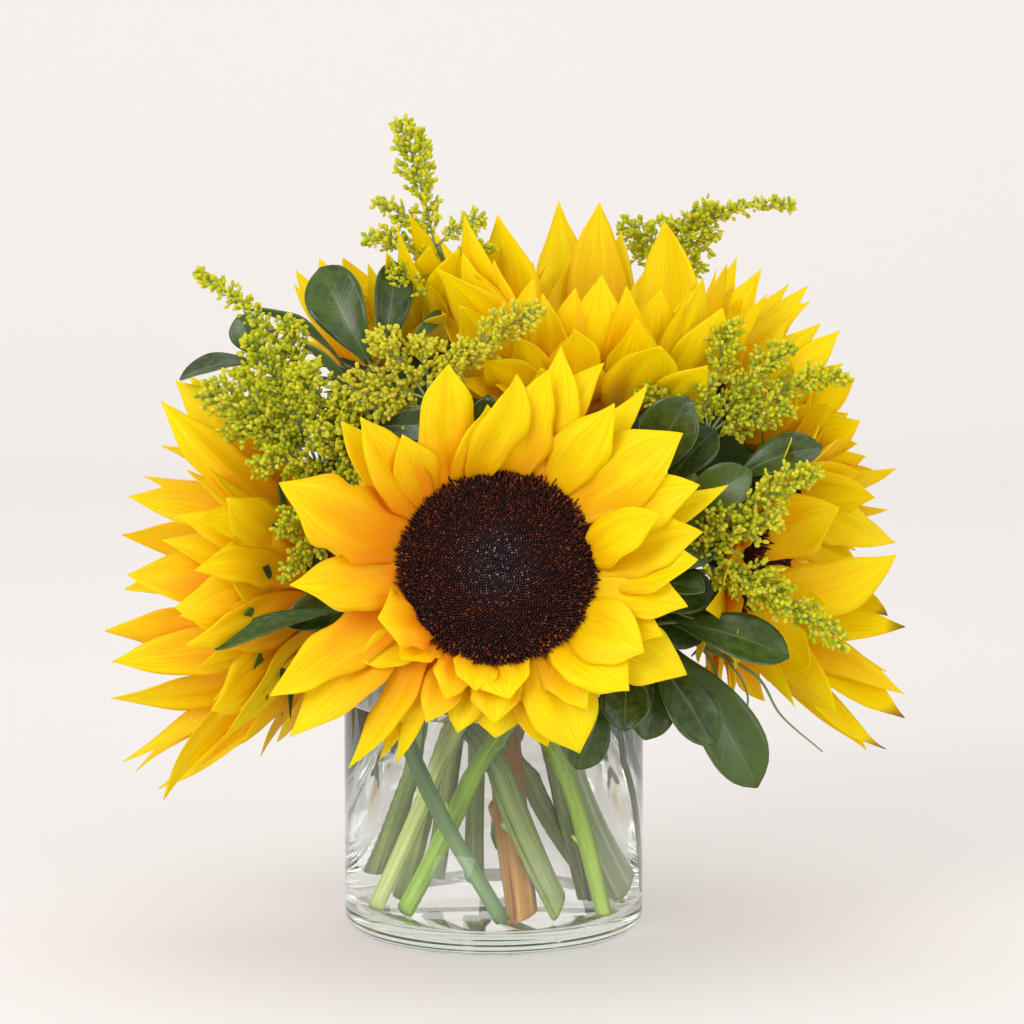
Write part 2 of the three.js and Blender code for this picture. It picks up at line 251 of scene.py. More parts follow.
def add_turned(shape, profile, sides, place=np.asarray, tint=0.0):
    """Adds a solid of revolution, where place takes its points from its own frame to the bouquet's."""
    radii = [point[0] for point in profile[1:-1]]
    across = np.concatenate([np.repeat(radii, sides), [0.0, 0.0]])
    faces = turned_faces(len(profile) - 2, sides)
    shape.add(place(turned_points(profile, sides)), faces, across=across, tint=tint)


def scatter(shape, template, quads, at, ways, width, length, tint, across):
    """Adds a copy of a small upright template at each place, along its way, at its own width and length."""
    at, ways = np.asarray(at), unit(ways)
    guide = np.where(np.abs(ways[:, 2:3]) < 0.9, [[0.0, 0.0, 1.0]], [[1.0, 0.0, 0.0]])
    one = unit(np.cross(ways, guide))
    two = np.cross(ways, one)
    count, size = len(at), len(template)
    width = np.broadcast_to(width, count)[:, None, None]
    length = np.broadcast_to(length, count)[:, None, None]
    flat = template[None, :, 0:1] * one[:, None] + template[None, :, 1:2] * two[:, None]
    points = at[:, None] + flat * width + template[None, :, 2:3] * ways[:, None] * length
    offsets = (np.arange(count) * size)[:, None, None]
    faces = [(np.asarray(block)[None] + offsets).reshape(-1, len(block[0])) for block in quads]
    shape.add(
        points,
        faces,
        along=np.tile(template[:, 2], count),
        across=np.repeat(across, size),
        tint=np.repeat(tint, size),
    )


def bud_template(sides, rings):
    """A small closed body of height 1 and width about 1: rings are pairs of half width and height."""
    profile = [(0.0, rings[0][1]), *rings, (0.0, 1.0)]
    return turned_points(profile, sides), turned_faces(len(rings), sides)


def smooth_line(points, count):
    """A smooth line of evenly timed points through the given ones, as a centripetal Catmull-Rom curve."""
    points = np.asarray(points, float) * MM
    points = np.concatenate([[2 * points[0] - points[1]], points, [2 * points[-1] - points[-2]]])
    knots = np.concatenate([[0.0], np.cumsum(np.linalg.norm(np.diff(points, axis=0), axis=1) ** 0.5)])
    line = []
    for time in np.linspace(knots[1], knots[-2] - 1e-9, count):
        i = min(max(np.searchsorted(knots, time, side="right") - 1, 1), len(points) - 3)
        level, span = list(points[i - 1:i + 3]), knots[i - 1:i + 3]
        for pairs in (((0, 1), (1, 2), (2, 3)), ((0, 2), (1, 3)), ((1, 2),)):
            level = [
                ((span[high] - time) * one + (time - span[low]) * two) / (span[high] - span[low])
                for one, two, (low, high) in zip(level, level[1:], pairs)
            ]
        line.append(level[0])
    return np.array(line)


def show(name, shape, material, slot, *nodes):
    """Makes the piece, lets it ride with the bouquet, and hides the plain CAD nodes that it stands for."""
    if not shape.faces:
        raise RuntimeError(f"{name} has no faces")
    piece = bpy.data.objects.new(name, shape.mesh(name, material))
    bpy.context.scene.collection.objects.link(piece)
    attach(piece, "root")
    if nodes:
        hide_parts(*nodes)


# ---------------------------------------------------------------------------------------------------------
# Materials
# ---------------------------------------------------------------------------------------------------------

MATH, MIX, RAMP, RANGE = "ShaderNodeMath", "ShaderNodeMix", "ShaderNodeValToRGB", "ShaderNodeMapRange"
NOISE, BUMP, TOGETHER = "ShaderNodeTexNoise", "ShaderNodeBump", "ShaderNodeCombineXYZ"
VECTOR, VALUE = "ShaderNodeVectorMath", "ShaderNodeAttribute"
SKIN, THROUGH, SHADERS = "ShaderNodeBsdfPrincipled", "ShaderNodeBsdfTranslucent", "ShaderNodeMixShader"
OUTPUT = "ShaderNodeOutputMaterial"


def linear(code):
    """An sRGB hex colour as the linear values that the shaders take."""
    parts = [int(code[i:i + 2], 16) / 255 for i in (0, 2, 4)]
    return tuple(part / 12.92 if part <= 0.04045 else ((part + 0.055) / 1.055) ** 2.4 for part in parts)


def add_node(tree, kind, inputs=None, output=0, stops=(), **settings):
    """Adds a node with its settings and links, and gives one of its output sockets, if it has any.

    inputs holds each input's name or number with its value or the socket that feeds it, stops are the
    pairs of position and linear colour of a colour ramp, and settings are the node's own properties."""
    node = tree.nodes.new(kind)
    for key, value in settings.items():
        setattr(node, key, value)
    for key, value in (inputs or {}).items():
        socket = node.inputs[key]
        if isinstance(value, bpy.types.NodeSocket):
            tree.links.new(value, socket)
        elif socket.type == "RGBA":
            socket.default_value = (*value, 1.0)
        else:
            socket.default_value = value
    for number, (position, colour) in enumerate(stops):
        elements = node.color_ramp.elements
        element = elements[number] if number < len(elements) else elements.new(position)
        element.position = position
        element.color = (*colour, 1.0)
    return node.outputs[output] if len(node.outputs) else None


def new_material(name, *values):
    """A material, its empty tree, and a socket for each of the shape's values that it reads."""
    material = bpy.data.materials.new(name)
    material.use_nodes = True
    tree = material.node_tree
    tree.nodes.clear()
    return material, tree, *(add_node(tree, VALUE, output="Fac", attribute_name=key) for key in values)


def petal_material(looks):
    """Living ray petal: a thin satin skin that lets light through, with fine lengthwise nerves."""
    material, tree, along, across, tint = new_material("living_ray_petal", "along", "across", "tint")
    place = add_node(tree, TOGETHER, {"X": across, "Y": along, "Z": tint})
    # Nerves run the petal's length about 0.9 mm apart on a half width of 9 mm.
    nerve_at = add_node(tree, VECTOR, {0: place, 1: (9.0 / 0.9, 1.6, 37.0)}, operation="MULTIPLY")
    nerve = add_node(tree, NOISE, {"Vector": nerve_at, "Scale": 1.0, "Detail": 2.0, "Roughness": 0.6})
    # Its yellow runs from orange at the root to lemon at the tip, in clouds about 8 mm wide and 20 mm long.
    # The orange at the root is partly the petal's own colour and partly painted shade.
    cloud_at = add_node(tree, VECTOR, {0: place, 1: (1.2, 2.4, 91.0)}, operation="MULTIPLY")
    cloud = add_node(tree, NOISE, {"Vector": cloud_at, "Scale": 1.0, "Detail": 2.0, "Roughness": 0.5})
    reach = add_node(tree, MATH, {0: cloud, 1: 0.55, 2: along}, operation="MULTIPLY_ADD")
    # tint pushes the whole petal towards lemon. For the chosen petals it also carries painted light:
    # yellower on the bouquet's right.
    reach = add_node(tree, MATH, {0: tint, 1: 0.8, 2: reach}, operation="MULTIPLY_ADD")
    reach = add_node(tree, MATH, {0: reach, 1: 0.675}, operation="SUBTRACT")
    yellow = add_node(tree, RAMP, {"Fac": reach}, stops=[
        (0.05, looks.petal_root), (0.45, looks.petal_middle), (0.85, looks.petal_tip),
    ])
    lines = add_node(tree, RANGE, {
        "Value": nerve, "From Min": 0.32, "From Max": 0.62, "To Min": 0.3, "To Max": 0.0,
    })
    colour = add_node(tree, MIX, {0: lines, 6: yellow, 7: looks.petal_root}, 2, data_type="RGBA")
    # A petal that starts to wither is given a tint over 1, and its last tenth turns a dry brown.
    withers = add_node(tree, RANGE, {"Value": tint, "From Min": 1.0, "From Max": 1.05})
    end = add_node(tree, RANGE, {"Value": along, "From Min": 0.88, "From Max": 1.0})
    dry = add_node(tree, MATH, {0: withers, 1: end}, operation="MULTIPLY")
    colour = add_node(tree, MIX, {0: dry, 6: colour, 7: linear("8A4A12")}, 2, data_type="RGBA")
    relief = add_node(tree, BUMP, {"Strength": 0.5, "Distance": 0.35 * MM, "Height": nerve})
    skin = add_node(tree, SKIN, {
        "Base Color": colour, "Roughness": 0.52, "Specular IOR Level": 0.22, "Normal": relief,
    })
    through = add_node(tree, THROUGH, {"Color": colour, "Normal": relief})
    add_node(tree, OUTPUT, {"Surface": add_node(tree, SHADERS, {0: 0.42, 1: skin, 2: through})})
    return material


def floret_material():
    """Disc florets: dull, hairy brown tubes, with a grey bloom at the heart and a few rusty anthers."""
    material, tree, along, across, tint = new_material("disc_floret_velvet", "along", "across", "tint")
    brown = add_node(tree, RAMP, {"Fac": tint}, stops=[
        (0.0, linear("2A100C")), (0.5, linear("451C15")), (0.82, linear("602818")),
        (0.95, linear("823A17")), (1.0, linear("B8621C")),
    ])
    heart = add_node(tree, RAMP, {"Fac": tint}, stops=[
        (0.0, linear("2A1D20")), (0.6, linear("44353A")), (0.9, linear("66565C")),
        (0.985, linear("B9AEB2")),
    ])
    # The grey heart fades out between a fifth and half of the disc's radius.
    inner = add_node(tree, RANGE, {
        "Value": across, "From Min": 0.2, "From Max": 0.48, "To Min": 0.8, "To Max": 0.0,
    })
    colour = add_node(tree, MIX, {0: inner, 6: brown, 7: heart}, 2, data_type="RGBA")
    # Little light reaches a floret's foot.
    depth = add_node(tree, RANGE, {"Value": along, "To Min": 0.7, "To Max": 0.0})
    colour = add_node(tree, MIX, {0: depth, 6: colour, 7: linear("160B0A")}, 2, data_type="RGBA")
    skin = add_node(tree, SKIN, {
        "Base Color": colour, "Roughness": 0.88, "Specular IOR Level": 0.12, "Sheen Weight": 0.04,
    })
    add_node(tree, OUTPUT, {"Surface": skin})
    return material


def green_material(name, low, high, roughness, streak_mm, streak_length_mm, round_mm):
    """Green plant skin: fine lengthwise streaks between two greens. tint moves it between them.

    round_mm is how far once across the piece is, so that the streaks come out at their real width."""
    material, tree, along, across, tint = new_material(name, "along", "across", "tint")
    place = add_node(tree, TOGETHER, {"X": across, "Y": along, "Z": tint})
    real = (round_mm / streak_mm, 1.0 / (streak_length_mm * MM), 53.0)
    streak_at = add_node(tree, VECTOR, {0: place, 1: real}, operation="MULTIPLY")
    streak = add_node(tree, NOISE, {"Vector": streak_at, "Scale": 1.0, "Detail": 3.0, "Roughness": 0.6})
    shade = add_node(tree, MATH, {0: streak, 1: 0.9, 2: tint}, operation="MULTIPLY_ADD")
    shade = add_node(tree, MATH, {0: shade, 1: 0.45}, operation="SUBTRACT")
    colour = add_node(tree, RAMP, {"Fac": shade}, stops=[(0.28, low), (0.72, high)])
    relief = add_node(tree, BUMP, {"Strength": 0.6, "Distance": 0.3 * MM, "Height": streak})
    skin = add_node(tree, SKIN, {
        "Base Color": colour, "Roughness": roughness, "Specular IOR Level": 0.4, "Normal": relief,
    })
    add_node(tree, OUTPUT, {"Surface": skin})
    return material


def bud_material(looks):
    """Goldenrod buds: small, dull and waxy, each its own shade between lime and gold."""
    material, tree, along, tint = new_material("goldenrod_bud_waxy", "along", "tint")
    colour = add_node(tree, RAMP, {"Fac": tint}, stops=[
        (0.0, looks.bud_shade), (0.35, looks.bud_green), (0.7, looks.bud_gold), (1.0, looks.bud_open),
    ])
    # A bud's foot is greener than its tip.
    foot = add_node(tree, RANGE, {"Value": along, "To Min": 0.3, "To Max": 0.0})
    colour = add_node(tree, MIX, {0: foot, 6: colour, 7: looks.bud_shade}, 2, data_type="RGBA")
    skin = add_node(tree, SKIN, {"Base Color": colour, "Roughness": 0.6, "Specular IOR Level": 0.3})
    through = add_node(tree, THROUGH, {"Color": colour})
    add_node(tree, OUTPUT, {"Surface": add_node(tree, SHADERS, {0: 0.55, 1: skin, 2: through})})
    return material


def leaf_material(looks):
    """Leathery evergreen leaf: a waxy dark face with a pale midrib and margin, and a dull paler back."""
    material, tree, along, across, tint, side = new_material("evergreen_leaf_waxy", *Shape.VALUES)
    from_rib = add_node(tree, MATH, {0: across}, operation="ABSOLUTE")
    # The midrib is about 0.9 mm wide and the pale margin about 0.5 mm, on a half width of 10 mm.
    rib = add_node(tree, RANGE, {
        "Value": from_rib, "From Min": 0.02, "From Max": 0.07, "To Min": 1.0, "To Max": 0.0,
    })
    fade = add_node(tree, RANGE, {"Value": along, "To Min": 1.0, "To Max": 0.1})
    rib = add_node(tree, MATH, {0: rib, 1: fade}, operation="MULTIPLY")
    margin = add_node(tree, RANGE, {"Value": from_rib, "From Min": 0.95, "From Max": 1.0, "To Max": 0.4})
    # Side nerves leave the midrib about 5 mm apart on a leaf 45 mm long, and lean towards its tip.
    turn = add_node(tree, MATH, {0: from_rib, 1: -0.22, 2: along}, operation="MULTIPLY_ADD")
    turn = add_node(tree, MATH, {0: turn, 1: 9 * TAU}, operation="MULTIPLY")
    wave = add_node(tree, MATH, {0: turn}, operation="SINE")
    nerve = add_node(tree, RANGE, {"Value": wave, "From Min": 0.8, "From Max": 1.0})
    place = add_node(tree, TOGETHER, {"X": across, "Y": along, "Z": tint})
    mottle_at = add_node(tree, VECTOR, {0: place, 1: (3.0, 9.0, 71.0)}, operation="MULTIPLY")
    mottle = add_node(tree, NOISE, {"Vector": mottle_at, "Scale": 1.0, "Detail": 3.0})
    shade = add_node(tree, MATH, {0: tint, 1: 0.75, 2: mottle}, operation="MULTIPLY_ADD")
    face = add_node(tree, RAMP, {"Fac": shade}, stops=[(0.45, looks.leaf_dark), (1.0, looks.leaf_light)])
    faint = add_node(tree, MATH, {0: nerve, 1: 0.05}, operation="MULTIPLY")
    face = add_node(tree, MIX, {0: faint, 6: face, 7: looks.leaf_rib}, 2, data_type="RGBA")
    pale = add_node(tree, MATH, {0: rib, 1: 0.6, 2: margin}, operation="MULTIPLY_ADD")
    face = add_node(tree, MIX, {0: pale, 6: face, 7: looks.leaf_rib}, 2, data_type="RGBA")
    colour = add_node(tree, MIX, {0: side, 6: face, 7: looks.leaf_back}, 2, data_type="RGBA")
    height = add_node(tree, MATH, {0: nerve, 1: -0.4, 2: mottle}, operation="MULTIPLY_ADD")
    height = add_node(tree, MATH, {0: height, 1: rib}, operation="SUBTRACT")
    relief = add_node(tree, BUMP, {"Strength": 0.3, "Distance": 0.25 * MM, "Height": height})
    rough = add_node(tree, RANGE, {"Value": side, "To Min": 0.27, "To Max": 0.6})
    skin = add_node(tree, SKIN, {
        "Base Color": colour, "Roughness": rough, "Specular IOR Level": 0.4, "Normal": relief,
    })
    add_node(tree, OUTPUT, {"Surface": skin})
    return material


def clear_material(name, colour, index, tint, density):
    """A clear body: its surface bends light, and shadow rays pass so that what stands inside is lit.

    index is its index of refraction, and tint and density are the colour that it takes on with depth."""
    material, tree = new_material(name)
    body = add_node(tree, SKIN, {
        "Base Color": colour, "Roughness": 0.0, "IOR": index, "Transmission Weight": 1.0,
        "Specular IOR Level": 0.32,
    })
    clear = add_node(tree, "ShaderNodeBsdfTransparent", {"Color": colour})
    shadow = add_node(tree, "ShaderNodeLightPath", output="Is Shadow Ray")
    surface = add_node(tree, SHADERS, {0: shadow, 1: body, 2: clear})
    # Its own tint only shows where light has passed some centimetres of it, as in a vase's thick foot.
    inside = add_node(tree, "ShaderNodeVolumeAbsorption", {"Color": linear(tint), "Density": density})
    add_node(tree, OUTPUT, {"Surface": surface, "Volume": inside})
    return material


def paper_material(looks):
    """Seamless paper: matt and plain, and a painted glow of its own keeps the shadows on it pale."""
    material, tree = new_material("background_paper")
    skin = add_node(tree, SKIN, {
        "Base Color": looks.paper, "Roughness": 0.9, "Specular IOR Level": 0.15,
        # Painted light: the paper glows by itself, though no lamp lights it from behind, so its shadows
        # stay pale.
        "Emission Color": linear("F3EEEA"), "Emission Strength": 0.2,
    })
    add_node(tree, OUTPUT, {"Surface": skin})
    return material


# ---------------------------------------------------------------------------------------------------------
# What a user may change
# ---------------------------------------------------------------------------------------------------------


def length_prop(name, description, millimetres):
    """A length that the user may change, given in millimetres and kept in metres."""
    return FloatProperty(
        name=name, description=description, default=millimetres * MM, min=0.0, unit="LENGTH",
    )


def colour_prop(name, description, code):
    """A colour that the user may change, given as an sRGB hex code."""
    return FloatVectorProperty(
        name=name, description=description, subtype="COLOR", size=3, min=0.0, max=1.0, default=linear(code),
    )


class BouquetLooks(bpy.types.PropertyGroup):
    """Colours of the bouquet."""

    # petal_root is partly a petal's own colour at its root and partly painted shade there.
    petal_root: colour_prop("Petal root", "Colour of a petal at its root", "FBA90C")
    petal_middle: colour_prop("Petal middle", "Colour of a petal half way", "FFDC00")
    petal_tip: colour_prop("Petal tip", "Colour of a petal at its tip", "FFF200")
    bud_shade: colour_prop("Bud shade", "Darkest goldenrod bud", "B9C82C")
    bud_green: colour_prop("Bud green", "Common goldenrod bud", "DDE42C")
    bud_gold: colour_prop("Bud gold", "Ripe goldenrod bud", "F6F03A")
    bud_open: colour_prop("Bud open", "Palest goldenrod bud, about to open", "F6EE5A")
    leaf_dark: colour_prop("Leaf dark", "Darkest green of a leaf's face", "19270B")
    leaf_light: colour_prop("Leaf light", "Lightest green of a leaf's face", "445A1E")
    leaf_rib: colour_prop("Leaf rib", "Midrib, nerves and margin of a leaf", "7C9560")
    leaf_back: colour_prop("Leaf back", "Back of a leaf", "5E7A48")
    glass: colour_prop("Glass", "Tint of the vase", "FFFFFF")
    water: colour_prop("Water", "Tint of the water", "FFFFFF")
    paper: colour_prop("Paper", "Background paper", "D1CDCB")


class BouquetSizes(bpy.types.PropertyGroup):
    """Sizes of the pieces that the frame doesn't give."""

    petal_thickness: length_prop("Petal thickness", "Thickness of a petal", 0.35)
    leaf_thickness: length_prop("Leaf thickness", "Thickness of a leaf", 0.45)
    bud_length: length_prop("Bud length", "Length of a goldenrod bud", 2.9)
    bud_width: length_prop("Bud width", "Width of a goldenrod bud", 2.0)
    florets: IntProperty(
        name="Florets", description="Florets on the front sunflower's disc", default=4200, min=200,
    )
    meniscus: length_prop("Meniscus", "How far the water climbs the glass", 1.2)


# ---------------------------------------------------------------------------------------------------------
# The pieces
# ---------------------------------------------------------------------------------------------------------

HEADS = {name: Head(name) for name in ("front", "left", "top", "top_left", "top_right", "right")}

# Each sunflower's chosen petals: where the tip is and the width, in millimetres, and how far the petal bows
# towards its face. Its root's turn about the disc in degrees and its sideways sway follow where they are
# chosen too.
PETALS = {
    "front": [
        (-18, -95, 257, 24, 0.20, 119, -0.20), (-37, -96, 228, 18, 0.20, 135),
        (-2, -94, 240, 17, 0.25, 110, -0.40), (10, -98, 253, 18, 0.30, 101, -0.55),
        (24, -98, 255, 18, 0.30, 86, 0.45), (28, -92, 264, 21, 0.20, 70, 0.25),
        (46, -90, 257, 17, 0.20, 68, -0.30), (50, -98, 241, 20, 0.25, 53, -0.25),
        (64, -88, 248, 12, 0.15, 50, -0.30), (78, -102, 229, 26, 0.20, 40, 0.20),
        (85, -104, 208, 21, 0.20, 26, 0.25), (97, -96, 207, 13, 0.10, 22, 0.20),
        (69, -117, 197, 18, 0.45, 10, 0.35), (86, -108, 189, 22, 0.20, 7, 0.20),
        (84, -110, 178, 22, 0.20, -5, -0.15), (80, -112, 159, 20, 0.15, -16),
        (70, -112, 147, 19, 0.20, -26), (62, -119, 141, 25, 0.35, -34), (80, -108, 130, 25, 0.10, -38),
        (56, -118, 125, 25, 0.30, -50), (36, -108, 97, 28, 0.15, -62), (18, -106, 116, 17, 0.20, -76),
        (1, -100, 102, 23, 0.10, -86), (7, -115, 121, 22, 0.40, -93), (-7, -113, 124, 17, 0.40, -104),
        (-19, -112, 120, 16, 0.30, -114), (-38, -109, 137, 18, 0.35, -130),
        (-47, -111, 154, 25, 0.40, -141), (-92, -108, 121, 21, 0.12, -158),
        (-84, -103, 103, 20, 0.08, -150), (-60, -98, 89, 14, 0.05, -138), (-47, -96, 92, 9, 0.05, -130),
        (-40, -94, 90, 8, 0.05, -124), (-83, -112, 168, 22, 0.20, -173), (-87, -112, 210, 28, 0.25, 166),
        (-72, -98, 191, 20, 0.10, 177), (-62, -99, 234, 18, 0.15, 150), (-54, -104, 236, 21, 0.25, 143),
    ],
    "left": [
        (-137, -10, 242, 19, -0.10), (-132, 0, 243, 16, -0.05), (-141, -40, 236, 18, -0.10),
        (-146, 20, 210, 14, -0.10), (-152, 0, 199, 17, -0.10), (-156, -30, 194, 23, -0.15),
        (-163, 10, 172, 19, -0.10), (-155, -50, 163, 21, -0.15), (-164, 30, 145, 17, -0.10),
        (-167, -30, 136, 21, -0.15), (-163, -40, 124, 18, -0.10), (-166, -20, 105, 17, -0.05),
        (-163, 0, 73, 13, 0.10), (-143, -25, 61, 16, 0.15), (-147, -5, 62, 12, 0.10),
        (-159, 20, 65, 8, 0.10), (-112, -66, 198, 21, -0.20), (-117, -74, 175, 26, -0.25),
        (-121, -76, 139, 20, -0.20), (-119, -68, 108, 23, -0.15), (-134, -64, 151, 22, -0.20),
        (-140, -52, 178, 20, -0.15),
    ],
    "top": [
        (-12, -24, 314, 22, -0.20), (-8, -30, 291, 24, -0.10), (2, -4, 313, 25, -0.20),
        (29, 62, 315, 19, -0.20), (47, 58, 315, 23, -0.20), (57, 64, 302, 16, -0.20),
        (75, 40, 308, 26, -0.25), (106, 20, 293, 18, -0.15), (116, 5, 289, 20, -0.15),
        (118, -5, 279, 10, -0.10), (3, -22, 287, 15, -0.25), (21, -42, 282, 18, -0.30),
        (46, -46, 290, 25, -0.30), (60, -58, 273, 21, -0.30), (70, -66, 262, 26, -0.25),
        (82, -44, 280, 9, -0.20), (97, -42, 276, 21, -0.20), (90, -58, 253, 19, -0.15),
        (-22, -10, 272, 16, -0.20), (-8, -26, 268, 16, -0.20), (10, -44, 264, 19, -0.20),
        (34, -56, 268, 22, -0.25), (108, -18, 272, 17, -0.15), (-20, -36, 257, 20, -0.15),
        (-4, -50, 254, 20, -0.15), (20, -58, 252, 21, -0.20), (-30, 4, 282, 18, -0.15),
        (-24, 22, 296, 17, -0.15), (2, -62, 245, 20, -0.10), (-14, -50, 246, 18, -0.10),
        (-24, -34, 292, 24, -0.10), (-14, -40, 277, 24, -0.10), (-13, -26, 298, 22, -0.10),
    ],
    "top_left": [
        (-41, -20, 309, 11, -0.20), (-36, -22, 314, 10, -0.25), (-27, -22, 301, 17, -0.20),
        (-15, -24, 300, 21, -0.20), (-54, -4, 292, 11, -0.20), (-66, 20, 293, 14, -0.20),
        (-27, -24, 284, 11, -0.20), (-87, 30, 287, 12, -0.10), (-46, -14, 298, 12, -0.20),
        (-50, -8, 284, 14, -0.15), (-30, -12, 286, 17, -0.15), (-72, 0, 278, 14, -0.10),
        (-60, -14, 270, 15, -0.10), (-20, -22, 272, 14, -0.15), (-30, 40, 303, 10, -0.20),
        (-12, 30, 296, 13, -0.20), (-41, 84, 304, 12, -0.10), (-27, 92, 300, 13, -0.10),
        (-14, 88, 298, 13, -0.10), (-78, 60, 290, 13, -0.10),
    ],
    "top_right": [
        (131, 50, 279, 11, -0.10), (139, 40, 279, 13, -0.10), (139, 28, 273, 12, -0.10),
        (143, 20, 264, 12, -0.10), (151, 10, 262, 15, -0.10), (144, 0, 253, 13, -0.10),
        (151, -5, 249, 13, -0.05), (156, -8, 243, 18, -0.05), (158, -14, 225, 21, -0.05),
        (139, -24, 210, 17, -0.05), (128, 10, 266, 14, -0.15), (120, -8, 246, 16, -0.15),
    ],
    "right": [
        (159, -5, 201, 15, 0.10), (165, -10, 191, 18, 0.10), (173, -22, 173, 22, 0.10),
        (160, -26, 158, 16, 0.15), (150, -32, 150, 14, 0.20), (104, -58, 190, 17, -0.10),
        (100, -62, 176, 13, -0.10), (141, -54, 152, 17, 0.30, -110), (147, -46, 191, 21, 0.15, 166),
        (172, -38, 170, 19, 0.15, -160), (174, -25, 143, 13, 0.10), (179, -30, 136, 14, 0.05),
        (171, -10, 115, 7, 0.10), (177, -26, 108, 15, 0.15), (177, -30, 96, 16, 0.10),
        (168, -34, 83, 15, 0.10), (161, -30, 84, 10, 0.10), (128, -60, 108, 8, 0.15),
        (146, -50, 104, 21, 0.20), (134, -56, 124, 18, 0.20),
    ],
}

# How each sunflower's petals are set. Two rows go all the way round, behind the chosen petals: count is how
# many each row has, length and width are theirs in millimetres, and lifts are the inner and the outer row's
# lift in degrees, at the root and at the tip. The chosen petals are widened by broad, lemon is how yellow
# they are, where 0 is orange, turned is how far they turn their broad side to the bouquet's front, and
# withered lists the ones whose tips wither and curl. For both, depth is how far behind the disc's face they
# start, in millimetres, and uneven scales the random draws.
ROWS = {
    "front": {
        "count": 16, "length": 35, "width": 19, "lifts": ((12, 4), (2, -8)), "uneven": 0.6, "seed": 10,
        "broad": 1.12, "depth": 3, "lemon": 0.55, "turned": 0.0, "withered": (),
    },
    "left": {
        "count": 17, "length": 58, "width": 18, "lifts": ((52, 54), (40, 40)), "uneven": 0.9, "seed": 11,
        "broad": 1.28, "depth": 17, "lemon": 0.55, "turned": 0.62, "withered": (),
    },
    "top": {
        "count": 11, "length": 66, "width": 24, "lifts": ((60, 82), (54, 76)), "uneven": 0.7, "seed": 12,
        "broad": 1.2, "depth": 5, "lemon": 0.68, "turned": 0.7, "withered": (),
    },
    "top_left": {
        "count": 19, "length": 52, "width": 12, "lifts": ((54, 70), (46, 58)), "uneven": 1.1, "seed": 13,
        "broad": 1.3, "depth": 5, "lemon": 0.88, "turned": 0.9, "withered": (),
    },
    "top_right": {
        "count": 18, "length": 54, "width": 16, "lifts": ((46, 58), (36, 44)), "uneven": 1.0, "seed": 14,
        "broad": 1.25, "depth": 5, "lemon": 0.72, "turned": 0.5, "withered": (),
    },
    "right": {
        "count": 18, "length": 44, "width": 17, "lifts": ((26, 32), (12, 16)), "uneven": 1.0, "seed": 15,
        "broad": 1.3, "depth": 5, "lemon": 0.5, "turned": 0.6, "withered": (4, 10, 11, 14, 15),
    },
}

# Where each group's random draws start. A sunflower's own seed or number is added where it has one.
SEEDS = {"chosen": 100, "discs": 40, "calyces": 60, "sprigs": 90, "blade_leaf": 95, "greens": 97}

# The way from the bouquet to someone who looks at its front, a little from above.
FRONT_WAY = np.array([0.0, -0.97, 0.24])

# A blade's half width, as shares of its widest, at shares of its length from the root.
PETAL_OUTLINE = (
    [0.0, 0.1, 0.25, 0.4, 0.55, 0.68, 0.8, 0.9, 0.96, 1.0],
    [0.44, 0.6, 0.86, 0.99, 1.0, 0.9, 0.66, 0.34, 0.13, 0.01],
)
LEAF_OUTLINE = (
    [0.0, 0.08, 0.25, 0.45, 0.62, 0.78, 0.9, 0.97, 1.0],
    [0.1, 0.2, 0.55, 0.86, 1.0, 0.94, 0.68, 0.36, 0.04],
)


def outline(share, table):
    """Half width of a blade at a share of its length, with its corners rounded but its tip kept."""
    spread, tip = 0.04, 0.97
    steps = [np.interp(np.clip(share + shift, 0, 1), *table) for shift in (-spread, 0.0, spread)]
    return np.where(share > tip, steps[1], np.mean(steps, axis=0))


def petal_line(rng, head, root, tip, share, bow, uneven, turned, chosen_sway, curl):
    """A petal's middle line as a curve from root to tip, with the way that its face looks along it."""
    chord = tip - root
    length = np.linalg.norm(chord)
    chord = chord / length
    radial = unit(root - head.centre - ((root - head.centre) @ head.normal) * head.normal)
    face = head.normal * (chord @ radial) - radial * (chord @ head.normal)
    face = face + 1.6 * turned * FRONT_WAY * (1 if face @ FRONT_WAY > 0 else -1)
    face = unit(face - (face @ chord) * chord)
    side = np.cross(chord, face)
    sway = rng.normal(0, 0.22) * uneven
    sway = sway if chosen_sway is None else chosen_sway
    bow = bow + rng.normal(0, 0.07) * uneven
    out = unit(chord + bow * face + sway * side)
    end_bow = bow + rng.normal(0, 0.2) * uneven
    # Some petals sway back the other way towards their tip, as a flat S.
    end_sway = sway * rng.choice([1.0, -0.6])
    back = unit(chord - end_bow * face - end_sway * side)
    handle = 0.36 * length
    first, second = root + out * handle, tip - back * handle
    done = share[:, None]
    left = 1 - done
    line = left ** 3 * root + 3 * left ** 2 * done * first + 3 * left * done ** 2 * second + done ** 3 * tip
    curl_start = 0.7
    curled = np.clip((done - curl_start) / (1 - curl_start), 0, 1) ** 2
    return line + curl * curled * (face + 0.5 * side), face


